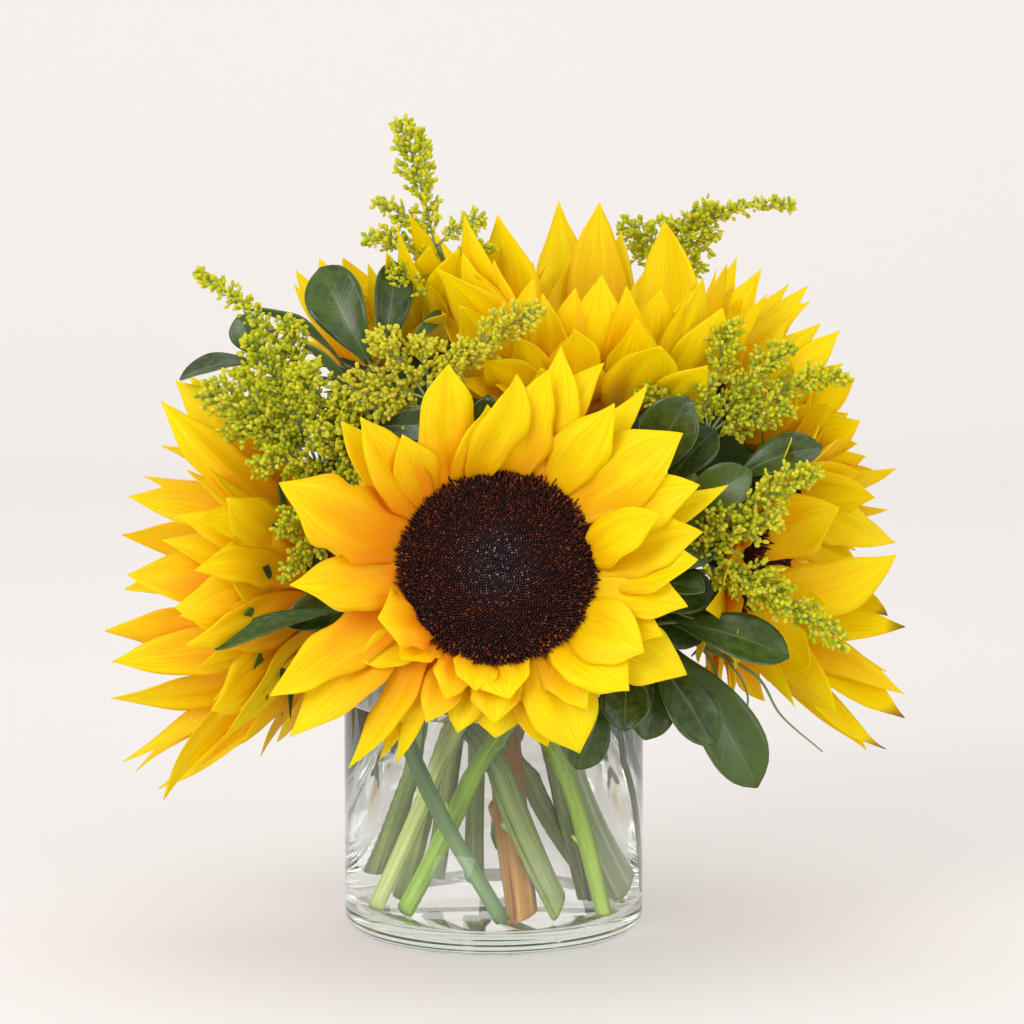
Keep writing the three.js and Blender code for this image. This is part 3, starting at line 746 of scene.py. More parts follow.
def add_petal(shape, rng, sizes, head, root, tip, width, bow, uneven, tint,
              turned=0.0, chosen_sway=None, curl=0.0):
    """Adds a petal from its root at the disc's rim to its tip: arched, swayed, twisted, creased, waved."""
    rows, columns = 23, 11
    share = np.linspace(0, 1, rows)
    over = np.linspace(-1, 1, columns)[None, :]
    edge_of = np.abs(over)
    line, face = petal_line(rng, head, root, tip, share, bow, uneven, turned, chosen_sway, curl)
    tangent = unit(np.gradient(line, axis=0))
    normal = unit(face - (tangent @ face)[:, None] * tangent)
    lateral = np.cross(tangent, normal)
    twist = (rng.normal(0, 0.32) * uneven * share ** 1.6 + rng.normal(0, 0.12) * uneven)[:, None]
    cos, sin = np.cos(twist), np.sin(twist)
    normal, lateral = normal * cos - lateral * sin, lateral * cos + normal * sin
    fullness = rng.uniform(0.85, 1.15)
    half = (0.5 * width * outline(share ** fullness, PETAL_OUTLINE))[:, None]
    done = share[:, None]
    # Four slow waves of its own make each margin uneven.
    nicks = rng.normal(0, 0.035, 4)
    notches = sum(
        nick * np.sin((turns + 2) * 4.1 * done + (over + 1) * turns) for turns, nick in enumerate(nicks)
    )
    flat = half * over * (1 + notches * edge_of ** 2)
    # It is a gutter at its root, has two folds along its middle, and ruffles at its margin.
    gutter = rng.uniform(0.08, 0.3) * (1 - 0.5 * done)
    crease = rng.uniform(0.04, 0.1) * np.sin(math.pi * np.clip(done * 1.05, 0, 1))
    folds = np.cos(over * math.pi * rng.uniform(1.7, 2.4) + rng.normal(0, 0.5))
    ruffle = rng.uniform(0.03, 0.1)
    wave = ruffle * np.sin(done * rng.uniform(6, 11) + rng.uniform(0, 6) + over) * edge_of ** 3
    lift = half * (gutter * over ** 2 - crease * folds + wave * (1 + done))
    points = line[:, None] + flat[:, :, None] * lateral[:, None] + lift[:, :, None] * normal[:, None]
    add_sheet(shape, points, sizes.petal_thickness, done, over, tint)


class BOUQUET_OT_petals(bpy.types.Operator):
    """Make each sunflower's rows of petals"""

    bl_idname = "bouquet.petals"
    bl_label = "Petals"
    bl_options = {"REGISTER", "UNDO"}

    def execute(self, context):
        looks, sizes = context.scene.bouquet_looks, context.scene.bouquet_sizes
        material = petal_material(looks)
        for name, head in HEADS.items():
            shape = Shape()
            self.chosen(shape, sizes, head)
            self.filling(shape, sizes, head)
            show(f"{name}_petals", shape, material, "petals", f"{name}_sunflower_petals")
        return {"FINISHED"}

    def root(self, head, angle, depth):
        """A petal's root: 3 mm inside the disc's rim, and further in where it is set deeper than 6 mm."""
        turn = math.radians(angle)
        reach = head.radius - (3.0 + 0.45 * max(0.0, depth - 6.0)) * MM
        return head.place([reach * math.cos(turn), reach * math.sin(turn), -depth * MM])

    def chosen(self, shape, sizes, head):
        """The petals that show from the front, each with its own tip."""
        row = ROWS[head.name]
        rng = np.random.default_rng(row["seed"] + SEEDS["chosen"])
        for number, (x, y, z, width, bow, *rest) in enumerate(PETALS[head.name]):
            tip = np.array([x, y, z]) * MM
            way = tip - head.centre
            angle = rest[0] if rest else math.degrees(math.atan2(way @ head.up, way @ head.side))
            sway = rest[1] if len(rest) > 1 else None
            # Three depths in turn keep neighbours from lying in each other.
            root = self.root(head, angle, row["depth"] + (number % 3) * 1.2)
            # Painted light: petals on the bouquet's right are painted yellower than those on its left, as
            # if more light fell on them.
            tint = np.clip(row["lemon"] + 0.28 * unit(way)[0] + rng.normal(0, 0.12), 0, 1)
            withered = number in row["withered"]
            add_petal(
                shape, rng, sizes, head, root, tip, width * row["broad"] * MM, bow, row["uneven"],
                tint + withered, row["turned"], sway, 7 * MM * withered,
            )

    def filling(self, shape, sizes, head):
        """Two rows of petals all the way round, the inner one shorter and more upright."""
        row = ROWS[head.name]
        rng = np.random.default_rng(row["seed"])
        for layer, lifts in enumerate(row["lifts"]):
            for number in range(row["count"]):
                angle = (number + 0.5 * layer) * 360 / row["count"] + rng.normal(0, 4)
                length = row["length"] * MM * (0.9 + 0.1 * layer) * rng.normal(1, 0.08)
                width = row["width"] * MM * rng.normal(1, 0.1)
                root = self.root(head, angle, row["depth"] + 3 + 2.5 * layer)
                lift = math.radians(sum(lifts) / 2 + rng.normal(0, 6))
                turn = math.radians(angle + rng.normal(0, 5))
                flat = math.cos(lift)
                way = np.array([math.cos(turn) * flat, math.sin(turn) * flat, math.sin(lift)])
                tip = root + length * (head.place(way) - head.centre)
                bow = -math.tan(math.radians(lifts[1] - lifts[0]) / 2) + rng.normal(0, 0.05)
                tint = rng.uniform(0.2, 0.7)
                add_petal(shape, rng, sizes, head, root, tip, width, bow, row["uneven"], tint)


class BOUQUET_OT_discs(bpy.types.Operator):
    """Make each sunflower's disc of florets in their two-way spiral"""

    bl_idname = "bouquet.discs"
    bl_label = "Discs"
    bl_options = {"REGISTER", "UNDO"}

    def execute(self, context):
        sizes = context.scene.bouquet_sizes
        material = floret_material()
        template, faces = bud_template(5, [(0.34, 0.0), (0.42, 0.45), (0.3, 0.8)])
        for number, (name, head) in enumerate(HEADS.items()):
            rng = np.random.default_rng(SEEDS["discs"] + number)
            shape = Shape()
            self.bed(shape, head)
            count = sizes.florets if name == "front" else sizes.florets // 2
            self.florets(shape, rng, template, faces, head, count)
            show(f"{name}_disc", shape, material, "disc", f"{name}_sunflower_disc")
        return {"FINISHED"}

    def florets(self, shape, rng, template, faces, head, count):
        """The florets, each a golden angle on from the last, taller and leaning outwards near the rim."""
        index = np.arange(count)
        share = np.sqrt((index + 0.5) / count)
        golden_angle = math.pi * (3 - math.sqrt(5))
        angle = index * golden_angle
        round_disc = np.stack([np.cos(angle), np.sin(angle)], axis=1)
        sunk = 0.8 * MM
        at = np.column_stack([round_disc * (share * head.radius)[:, None], self.dome(share) - sunk])
        lean = np.clip(share - 0.15, 0, 1) ** 2
        ways = np.column_stack([round_disc * lean[:, None], np.ones(count)])
        ways[:, :2] += rng.normal(0, 0.16, (count, 2)) * share[:, None]
        length = (1.5 + 2.6 * np.clip(share - 0.35, 0, 1)) * MM * rng.normal(1, 0.18, count)
        # One in six has its anthers out, and is that much longer.
        length = np.where(rng.random(count) < 0.16, length * 1.45, length)
        width = head.radius * 1.9 / math.sqrt(count) * rng.normal(1, 0.1, count)
        tint = rng.random(count)
        tint = np.where(share > 0.9, np.clip(tint + 0.06, 0, 1), tint * 0.97)
        ways = ways @ np.stack([head.side, head.up, head.normal])
        scatter(shape, template, faces, head.place(at), ways, width, length, tint, share)

    def dome(self, share):
        """Height of the disc's bed: a low dome with a shallow dip at its heart, down to the rim."""
        return (4.4 * (1 - share ** 3.2) - 2.4 * np.exp(-(share / 0.3) ** 2)) * MM

    def bed(self, shape, head):
        """The solid bed that the florets stand on, flat at its back."""
        radius = head.radius
        profile = [(0.0, -6.5 * MM), (radius - 4 * MM, -6.5 * MM), (radius - 0.5 * MM, -2.4 * MM)]
        for share in np.linspace(1, 0, 18):
            profile.append((share * (radius - 0.6 * MM), self.dome(share) - 0.7 * MM))
        add_turned(shape, profile, 48, head.place, tint=0.1)


class BOUQUET_OT_calyces(bpy.types.Operator):
    """Make each sunflower's green cup with its pointed sepals"""

    bl_idname = "bouquet.calyces"
    bl_label = "Calyces"
    bl_options = {"REGISTER", "UNDO"}

    def execute(self, context):
        # The cup's skin is downy, with nerves about 1 mm apart that run the length of a sepal.
        material = green_material(
            "downy_calyx", linear("2E4318"), linear("5C7A2E"), roughness=0.75,
            streak_mm=1.0, streak_length_mm=12.0, round_mm=6.0,
        )
        for number, (name, head) in enumerate(HEADS.items()):
            rng = np.random.default_rng(SEEDS["calyces"] + number)
            shape = Shape()
            radius = head.radius / MM
            cup = [
                (0, -27.5), (6, -27.4), (8.5, -25), (0.45 * radius, -21), (0.72 * radius, -16.5),
                (0.9 * radius, -12), (radius - 0.5, -9), (radius - 3, -7.4), (0, -7),
            ]
            add_turned(shape, [(r * MM, z * MM) for r, z in cup], 40, head.place, tint=0.4)
            # The sepals lie back from the petals, and the outer layer's lie back further.
            root, tip = ROWS[name]["lifts"][1]
            sepals = 13
            for layer in range(2):
                for step in range(sepals):
                    angle = (step + 0.5 * layer) * 360 / sepals + rng.normal(0, 4)
                    lift = (root - 14 - 14 * layer, tip - 24 - 14 * layer + rng.normal(0, 7))
                    length = rng.normal(24 - 3 * layer, 2.5) * MM
                    self.sepal(shape, rng, head, angle, length, lift, 9.5 + 3 * layer)
            show(f"{name}_calyx", shape, material, "calyx", f"{name}_sunflower_calyx")
        return {"FINISHED"}

    def sepal(self, shape, rng, head, angle, length, lift, depth):
        """One pointed sepal, whose lift goes from its first to its second angle along its length."""
        rows, columns = 9, 5
        share = np.linspace(0, 1, rows)
        over = np.linspace(-1, 1, columns)
        slope = np.radians(lift[0] + (lift[1] - lift[0]) * share)
        step = length / (rows - 1)
        run = np.concatenate([[0.0], np.cumsum(np.cos(slope[:-1]))]) * step
        rise = np.concatenate([[0.0], np.cumsum(np.sin(slope[:-1]))]) * step
        half = 4.6 * MM * np.interp(share, [0, 0.25, 0.55, 0.85, 1], [0.9, 1.0, 0.75, 0.26, 0.02])
        y = half[:, None] * over[None, :]
        body = half[:, None] * 0.3 * over[None, :] ** 2
        x = run[:, None] - body * np.sin(slope)[:, None]
        z = rise[:, None] + body * np.cos(slope)[:, None]
        points = np.stack([x + 0 * y, y, z], axis=2) + np.array([head.radius - 5 * MM, 0, -depth * MM])
        placed = head.place((points @ head.turn(angle)).reshape(-1, 3)).reshape(points.shape)
        thickness = 0.5 * MM
        add_sheet(shape, placed, thickness, share[:, None] * 0.02, over[None, :], rng.uniform(0.25, 0.65))


# Each sunflower stem's way down from straight behind its calyx and its radius, in millimetres, and its two
# shades.
STEMS = {
    "front": ([(-2, -44, 132), (8, -27, 95), (29, -25, 60), (42, -22, 12)], 3.5, "6E9420", "B4D05C"),
    "left": ([(-46, -26, 128), (-28, -16, 95), (-6, -20, 70), (25, -32, 16)], 4.9, "56682F", "A5B56C"),
    "top": ([(22, 14, 150), (8, 16, 100), (4, 6, 62), (11, -34, 12)], 6.2, "8A5020", "D0A050"),
    "top_left": ([(-14, 34, 160), (-4, 27, 118), (10, 22, 80), (36, 26, 13)], 4.8, "7F9160", "C9D2A4"),
    "top_right": ([(40, 4, 150), (14, -6, 120), (-9, -26, 88), (-44, -16, 13)], 3.3, "8CA63C", "D8E09C"),
    "right": ([(62, -14, 150), (30, -34, 122), (4, -37, 84), (-32, -16, 12)], 3.5, "62901E", "ACCB54"),
}


# Where leaves were stripped off: places along a stem's line of points, and turns about it in radians.
STEM_POINTS = 120
STUBS = ((74, 0.6), (89, 3.4), (103, 1.7))


def ribbed(angle):
    """A stem's section: nearly round, with low ribs."""
    return 1 + 0.03 * np.cos(9 * angle) + 0.03 * np.cos(2 * angle + 0.6)


class BOUQUET_OT_stems(bpy.types.Operator):
    """Make the sunflowers' stems, down to their cut ends in the water"""

    bl_idname = "bouquet.stems"
    bl_label = "Sunflower stems"
    bl_options = {"REGISTER", "UNDO"}

    def execute(self, context):
        for name, (way, thick, low, high) in STEMS.items():
            head = HEADS[name]
            back = head.centre - head.normal * 26.5 * MM
            after = back - head.normal * 13 * MM
            line = smooth_line([tuple(back / MM), tuple(after / MM), *way], STEM_POINTS)
            share = np.linspace(0, 1, len(line))
            # It swells where it meets the calyx, waves a little and has one knot.
            neck = 4.4
            radius = neck + (thick - neck) * np.clip(share * 2 - 0.3, 0, 1)
            radius += 1.6 * np.exp(-(share / 0.04) ** 2)
            radius += 0.04 * thick * np.sin(share * 31)
            radius += 0.18 * thick * np.exp(-((share - 0.74) / 0.012) ** 2)
            shape = Shape()
            add_tube(shape, line, radius * MM, sides=28, tint=0.5, section=ribbed, cut=0.9)
            # Short stubs are left where leaves were stripped off.
            for place, turn in STUBS:
                way = unit(line[place - 4] - line[place])
                out = unit(np.cross(way, [math.cos(turn), math.sin(turn), 0.2]))
                reach = 0.8 * thick * out + np.linspace(0, 1, 4)[:, None] * (2.4 * out + 3.2 * way)
                tapered = np.array([0.34, 0.28, 0.22, 0.16]) * thick * MM
                add_tube(shape, line[place] + reach * MM, tapered, sides=8, tint=0.75)
            # A stem is about 28 mm round, and its ribs are about 1.2 mm apart and run for some 40 mm.
            material = green_material(
                f"{name}_stem_skin", linear(low), linear(high), roughness=0.42,
                streak_mm=1.2, streak_length_mm=40.0, round_mm=28.0,
            )
            show(f"{name}_stem", shape, material, "stems", f"{name}_sunflower_stem")
        return {"FINISHED"}


# Goldenrod: each spray's stem from the top down, and its plumes as root, tip and spread, in millimetres.
# ripe moves its buds towards gold, and stalk is its stalks' two greens where they aren't the common ones.
GOLDENROD = {
    "top": {
        "stem": [
            (-24, -6, 300), (-19, 12, 280), (-15, 14, 258), (-14, 2, 220), (-14, -6, 180), (-16, 2, 125),
            (-24, 24, 75), (-31, 36, 14),
        ],
        "plumes": [
            ((-24, -6, 294), (-40, -2, 352), 17), ((-25, -6, 300), (-50, -4, 318), 9),
            ((-24, -6, 300), (-6, -6, 311), 10), ((-23, -7, 292), (-54, -8, 302), 12),
            ((-22, -8, 284), (-2, -10, 298), 12), ((-22, -9, 276), (-44, -12, 288), 14),
        ],
        "seed": 71,
    },
    "centre": {
        "stem": [
            (-28, -48, 240), (-24, -40, 205), (-22, -34, 150), (-18, -14, 115), (-8, 6, 70), (-6, 22, 14),
        ],
        "plumes": [
            ((-26, -49, 238), (20, -58, 276), 16), ((-28, -49, 238), (-66, -54, 240), 19),
            ((-28, -49, 238), (-50, -54, 264), 18), ((-27, -49, 236), (-10, -57, 260), 17),
            ((-28, -49, 234), (-48, -56, 232), 17), ((-27, -49, 240), (-30, -54, 262), 15),
        ],
        "ripe": 0.5,
        "seed": 72,
    },
    "left": {
        "stem": [
            (-74, -46, 212), (-62, -46, 185), (-50, -38, 140), (-40, -36, 118), (-33, -43, 80),
            (4, -47, 13),
        ],
        "plumes": [
            ((-72, -42, 236), (-126, -22, 288), 9), ((-75, -47, 210), (-122, -52, 240), 22),
            ((-75, -46, 211), (-104, -44, 262), 20), ((-73, -47, 210), (-80, -58, 250), 22),
            ((-73, -47, 208), (-98, -66, 210), 20), ((-66, -47, 192), (-88, -76, 186), 17),
            ((-72, -46, 214), (-64, -54, 236), 18), ((-74, -46, 216), (-112, -50, 224), 20),
            ((-66, -48, 194), (-68, -72, 196), 16), ((-62, -50, 182), (-86, -80, 167), 14),
            ((-64, -48, 198), (-44, -66, 216), 18), ((-76, -44, 222), (-88, -36, 270), 14),
            ((-66, -50, 200), (-62, -64, 226), 17), ((-64, -50, 194), (-58, -64, 208), 16),
            ((-70, -50, 204), (-74, -66, 226), 16), ((-66, -48, 206), (-59, -56, 236), 18),
            ((-68, -48, 198), (-80, -58, 203), 15),
        ],
        "stalk": ("5C7C4A", "94AE7A"),
        "seed": 73,
    },
    "top_right": {
        "stem": [
            (78, 72, 299), (73, 77, 262), (63, 74, 215), (42, 50, 160), (24, 24, 120), (18, 34, 75),
            (2, 42, 14),
        ],
        "plumes": [
            ((77, 72, 298), (132, 60, 313), 7), ((77, 72, 298), (102, 64, 310), 13),
            ((77, 73, 294), (58, 84, 301), 14), ((76, 75, 286), (64, 94, 290), 14),
            ((77, 72, 290), (98, 66, 300), 16), ((77, 73, 284), (90, 68, 286), 16),
            ((77, 72, 294), (78, 70, 305), 12),
        ],
        "seed": 74,
    },
    "right": {
        "stem": [
            (92, -44, 224), (76, -40, 192), (46, -26, 150), (22, -20, 120), (-12, -5, 75), (-30, 4, 13),
        ],
        "plumes": [
            ((91, -44, 222), (150, -32, 245), 12), ((91, -44, 222), (126, -38, 258), 16),
            ((91, -44, 222), (101, -38, 268), 16), ((90, -44, 220), (62, -52, 240), 12),
            ((91, -44, 218), (126, -44, 232), 14), ((91, -44, 222), (88, -50, 244), 15),
        ],
        "seed": 75,
    },
    "low_right": {
        "stem": [
            (84, -64, 170), (72, -54, 156), (48, -38, 134), (30, -26, 112), (20, -4, 70), (30, 6, 13),
        ],
        "plumes": [
            ((83, -65, 168), (135, -78, 210), 17), ((83, -65, 167), (118, -80, 190), 17),
            ((83, -65, 167), (146, -88, 138), 17), ((84, -65, 167), (122, -86, 156), 18),
            ((83, -65, 172), (100, -76, 192), 15),
        ],
        "seed": 76,
    },
    "back": {
        "stem": [
            (18, 96, 232), (16, 80, 195), (10, 52, 150), (2, 38, 118), (-8, 34, 75), (-18, 22, 14),
        ],
        "plumes": [
            ((18, 95, 230), (34, 104, 282), 19), ((18, 95, 229), (-12, 112, 262), 20),
            ((18, 95, 228), (50, 118, 246), 20), ((17, 94, 226), (4, 126, 236), 18),
            ((17, 92, 218), (30, 124, 222), 18), ((17, 94, 230), (8, 108, 270), 18),
        ],
        "seed": 77,
    },
    "back_left": {
        "stem": [
            (-90, 56, 198), (-70, 46, 174), (-44, 32, 145), (-26, 16, 118), (-6, -4, 70), (34, 10, 14),
        ],
        "plumes": [
            ((-89, 55, 197), (-116, 62, 238), 20), ((-89, 55, 196), (-130, 72, 208), 20),
            ((-88, 55, 195), (-104, 92, 214), 19), ((-88, 55, 196), (-92, 76, 236), 18),
        ],
        "seed": 78,
    },
}


class BOUQUET_OT_goldenrod(bpy.types.Operator):
    """Make the goldenrod sprays: arching stalks set with small buds"""

    bl_idname = "bouquet.goldenrod"
    bl_label = "Goldenrod"
    bl_options = {"REGISTER", "UNDO"}

    def execute(self, context):
        looks, sizes = context.scene.bouquet_looks, context.scene.bouquet_sizes
        buds = bud_material(looks)
        template, faces = bud_template(6, [(0.16, 0.0), (0.46, 0.3), (0.44, 0.68), (0.2, 0.92)])
        for name, spray in GOLDENROD.items():
            rng = np.random.default_rng(spray["seed"])
            low, high = map(linear, spray.get("stalk", ("66783A", "B4BE78")))
            # The stalks are about 18 mm round, with ribs 0.8 mm apart that run for some 30 mm.
            skin = green_material(
                f"{name}_goldenrod_stalk_skin", low, high, roughness=0.5,
                streak_mm=0.8, streak_length_mm=30.0, round_mm=18.0,
            )
            stalk, bud = Shape(), Shape()
            stem = smooth_line(spray["stem"], 48)
            share = np.linspace(0, 1, len(stem))
            radius = (1.3 + 1.9 * np.clip(share * 3, 0, 1)) * MM
            add_tube(stalk, stem, radius, sides=12, tint=0.4, section=ribbed)
            for root, tip, spread in spray["plumes"]:
                places, ways = self.plume(stalk, rng, np.array(root) * MM, np.array(tip) * MM, spread * MM)
                count = len(places)
                width = sizes.bud_width * rng.uniform(0.75, 1.2, count)
                length = sizes.bud_length * rng.uniform(0.7, 1.2, count)
                tint = np.clip(rng.random(count) + spray.get("ripe", 0.1), 0, 1)
                scatter(bud, template, faces, places, ways, width, length, tint, rng.random(count))
            show(f"{name}_goldenrod_stalks", stalk, skin, "goldenrod", f"{name}_goldenrod")
            show(f"{name}_goldenrod_buds", bud, buds, "goldenrod")
        return {"FINISHED"}

    def plume(self, stalk, rng, root, tip, spread):
        """Adds one arching stalk with its side twigs, and gives the places and ways of the buds on them."""
        way = tip - root
        length = np.linalg.norm(way)
        arch = np.array([0.0, 0.0, 0.09 * length])
        share = np.linspace(0, 1, 12)[:, None]
        axis = root + way * share + arch * (4 * share * (1 - share))
        add_tube(stalk, axis, np.linspace(0.75, 0.3, 12) * MM, sides=6, tint=0.5)
        forward = unit(way)
        side = unit(np.cross(forward, [0.13, 0.4, 0.9]))
        over = np.cross(side, forward)
        places, ways = [], []
        twig_step, bud_step, shortest = 1.5 * MM, 0.7 * MM, 1.6 * MM
        twigs = max(12, int(length / twig_step))
        for number in range(twigs):
            along = 0.12 + 0.88 * (number + rng.uniform(0, 0.6)) / twigs
            start = root + way * along + arch * 4 * along * (1 - along)
            turn = number * 2.4 + rng.normal(0, 0.3)
            outward = side * math.cos(turn) + over * math.sin(turn)
            # The twigs are longest past the middle of the plume.
            fullness = math.sin(math.pi * min(1, along * 0.86 + 0.08)) ** 0.8
            reach = max(spread * 0.5 * fullness * rng.uniform(0.75, 1.15), shortest)
            heading = unit(outward + forward * rng.uniform(0.7, 1.2))
            span = heading * reach * 1.25
            bow = np.array([0.0, 0.0, 0.12]) * reach
            step = np.linspace(0, 1, 5)[:, None]
            twig = start + span * step + bow * 4 * step * (1 - step)
            add_tube(stalk, twig, 0.28 * MM, sides=4, tint=0.6)
            count = max(4, int(reach / bud_step))
            spot = np.linspace(0.15, 1.0, count)[:, None]
            shake = unit(rng.normal(0, 1, (count, 3)))
            places.append(start + span * spot + bow * 4 * spot * (1 - spot) + shake * 0.7 * MM)
            ways.append(unit(heading + 0.75 * shake))
        places.append(tip + rng.normal(0, 0.6 * MM, (4, 3)))
        ways.append(unit(forward + rng.normal(0, 0.4, (4, 3))))
        return np.concatenate(places), np.concatenate(ways)


# The sprigs: each twig from the top down in millimetres, and the names of its leaves.
SPRIGS = {
    "left": (
        [(-55, -20, 246), (-48, -22, 205), (-36, -16, 150), (-12, -4, 110), (19, 6, 75), (34, -6, 14)],
        ("tall", "upright", "edgewise", "inner", "shiny", "outer"),
    ),
    "right": (
        [(74, -52, 196), (62, -46, 170), (42, -40, 132), (38, -24, 100), (38, 8, 60), (24, 44, 14)],
        ("far", "long", "high", "round"),
    ),
    "low": (
        [(68, -58, 142), (58, -46, 138), (47, -30, 124), (50, -16, 92), (52, 0, 55), (51, 10, 14)],
        ("side", "wide", "hanging", "lowest", "under", "middle", "tucked"),
    ),
    "back": (
        [(-20, 88, 206), (-16, 76, 180), (-12, 58, 145), (-10, 48, 115), (-8, 48, 75), (-2, 50, 14)],
        ("crown", "west", "east", "low"),
    ),
}


def blade_of(node, root_near):
    """A leaf node's root, tip, width and facing, in metres. The root is its end nearer the point given."""
    points = corners(node)
    middle = points.mean(0)
    facing, side, way = np.linalg.eigh(np.cov((points - middle).T))[1].T
    level = points @ way
    ends = points[level.argmin()], points[level.argmax()]
    root, tip = sorted(ends, key=lambda end: np.linalg.norm(end - root_near))
    width = np.ptp(points @ side)
    outward = np.array([middle[0], middle[1], 0.1])
    return root, tip, width, facing * (1 if facing @ outward > 0 else -1)


def add_leaf(shape, rng, sizes, root, tip, width, facing, curl=0.1):
    """A leaf's blade: bowed along its length, folded a little at the midrib, and waved at the margin."""
    rows, columns = 21, 11
    share = np.linspace(0, 1, rows)
    over = np.linspace(-1, 1, columns)
    way = tip - root
    length = np.linalg.norm(way)
    way = way / length
    side = unit(np.cross(way, facing))
    face = np.cross(side, way)
    half = 0.5 * width * outline(share, LEAF_OUTLINE)
    bow = curl * length * 4 * share * (1 - share)
    wave = rng.normal(0, 0.05) * np.sin(share * 11 + rng.uniform(0, 6))
    lift = half[:, None] * (0.22 * np.abs(over) ** 1.6 + wave[:, None] * over ** 3)
    rib = root + share[:, None, None] * length * way
    flat = half[:, None, None] * over[None, :, None]
    points = rib + flat * side + (lift + bow[:, None])[:, :, None] * face
    add_sheet(shape, points, sizes.leaf_thickness, share[:, None], over[None, :], rng.uniform(0.2, 0.8))


class BOUQUET_OT_sprigs(bpy.types.Operator):
    """Make the sprigs of glossy leaves and their twigs"""

    bl_idname = "bouquet.sprigs"
    bl_label = "Leaf sprigs"
    bl_options = {"REGISTER", "UNDO"}

    def execute(self, context):
        looks, sizes = context.scene.bouquet_looks, context.scene.bouquet_sizes
        leaf_skin = leaf_material(looks)
        # Thin bark: ridges about 0.7 mm apart that run for some 15 mm.
        bark = green_material(
            "green_brown_bark", linear("4A3B22"), linear("7A7A44"), roughness=0.7,
            streak_mm=0.7, streak_length_mm=15.0, round_mm=9.0,
        )
        rng = np.random.default_rng(SEEDS["sprigs"])
        for name, (way, leaves) in SPRIGS.items():
            twig = Shape()
            line = smooth_line(way, 40)
            add_tube(twig, line, np.linspace(1.0, 1.7, 40) * MM, sides=10, tint=0.5, section=ribbed)
            for leaf in leaves:
                node = f"{name}_sprig_{leaf}_leaf"
                root, tip, width, facing = blade_of(node, line[0])
                blade = Shape()
                add_leaf(blade, rng, sizes, root, tip, width * 1.12, facing)
                show(f"{name}_{leaf}_leaf", blade, leaf_skin, "leaves", node)
                # Its stalk leaves the twig at the nearest place, and runs 2 mm into the blade.
                joint = line[np.linalg.norm(line - root, axis=1).argmin()]
                reach = unit(tip - root)
                middle = (root + joint) / 2 - reach * 0.15 * np.linalg.norm(root - joint)
                stalk = smooth_line(np.array([joint, middle, root, root + reach * 2 * MM]) / MM, 10)
                add_tube(twig, stalk, np.linspace(0.9, 0.7, 10) * MM, sides=8, tint=0.7)
            show(f"{name}_twig", twig, bark, "twigs", f"{name}_sprig_twig")
        return {"FINISHED"}


# Leaves and tendrils that fill the bouquet behind its flowers: root, tip and width, in millimetres.
FILL_LEAVES = [
    ((60, -50, 170), (98, -68, 182), 21), ((56, -52, 158), (94, -70, 157), 21),
    ((64, -48, 204), (82, -62, 240), 25), ((-52, -48, 226), (-8, -64, 229), 16),
    ((-46, -40, 156), (-88, -64, 144), 17), ((-35, -15, 258), (-22, -8, 272), 6),
    ((62, -47, 214), (68, -42, 234), 8), ((20, -40, 150), (30, -58, 110), 22),
    ((-30, -36, 160), (-52, -52, 136), 20), ((52, -44, 170), (72, -62, 204), 23),
    ((4, -30, 190), (-2, -52, 240), 24), ((58, -50, 162), (92, -64, 147), 20),
    ((-50, -36, 184), (-68, -50, 216), 20), ((-40, -30, 196), (-58, -44, 222), 22),
    ((-50, -34, 200), (-62, -44, 237), 22), ((-48, -34, 182), (-80, -44, 205), 20),
    ((60, -44, 176), (80, -58, 190), 20), ((66, -48, 150), (88, -62, 136), 20),
    ((56, -40, 142), (70, -52, 120), 20), ((30, 50, 180), (58, 96, 196), 26),
    ((-30, 60, 180), (-66, 92, 198), 26), ((10, 60, 176), (6, 112, 190), 28),
    ((60, 30, 160), (98, 66, 156), 26), ((-50, 24, 160), (-96, 50, 158), 26),
    ((0, 40, 150), (-24, 84, 140), 26), ((30, 36, 150), (46, 82, 138), 26),
    ((-20, 30, 140), (-60, 62, 128), 24), ((50, 20, 140), (84, 44, 124), 24),
]
TENDRILS = [
    [(72, -44, 140), (90, -50, 130), (97, -52, 116), (111, -60, 98)],
    [(84, -46, 134), (112, -54, 120), (122, -56, 104), (140, -56, 88)],
    [(78, -44, 138), (98, -52, 128), (108, -56, 112), (104, -58, 96)],
]


class BOUQUET_OT_greens(bpy.types.Operator):
    """Make the leaves and tendrils that fill the bouquet behind its flowers"""

    bl_idname = "bouquet.greens"
    bl_label = "Filling greens"
    bl_options = {"REGISTER", "UNDO"}

    def execute(self, context):
        looks, sizes = context.scene.bouquet_looks, context.scene.bouquet_sizes
        rng = np.random.default_rng(SEEDS["greens"])
        blades = Shape()
        for root, tip, width in FILL_LEAVES:
            root, tip = np.array(root) * MM, np.array(tip) * MM
            # Leaves at the back face outwards and up, the others face the bouquet's front.
            outward = (root + tip) / 2 * [1, 1, 0] + [0, 0, 0.04]
            facing = outward if tip[1] > 0 else FRONT_WAY * 0.04
            facing = unit(facing + rng.normal(0, 0.01, 3))
            add_leaf(blades, rng, sizes, root, tip, width * MM, facing)
        show("filling_leaves", blades, leaf_material(looks), "leaves")
        # Tendrils are smooth, with streaks about 0.5 mm apart that run for some 20 mm.
        skin = green_material(
            "tendril_skin", linear("4F6A34"), linear("8FA068"), roughness=0.5,
            streak_mm=0.5, streak_length_mm=20.0, round_mm=4.0,
        )
        threads = Shape()
        for way in TENDRILS:
            add_tube(threads, smooth_line(way, 40), np.linspace(0.9, 0.3, 40) * MM, sides=8, tint=0.5)
        show("tendrils", threads, skin, "stems")
        return {"FINISHED"}


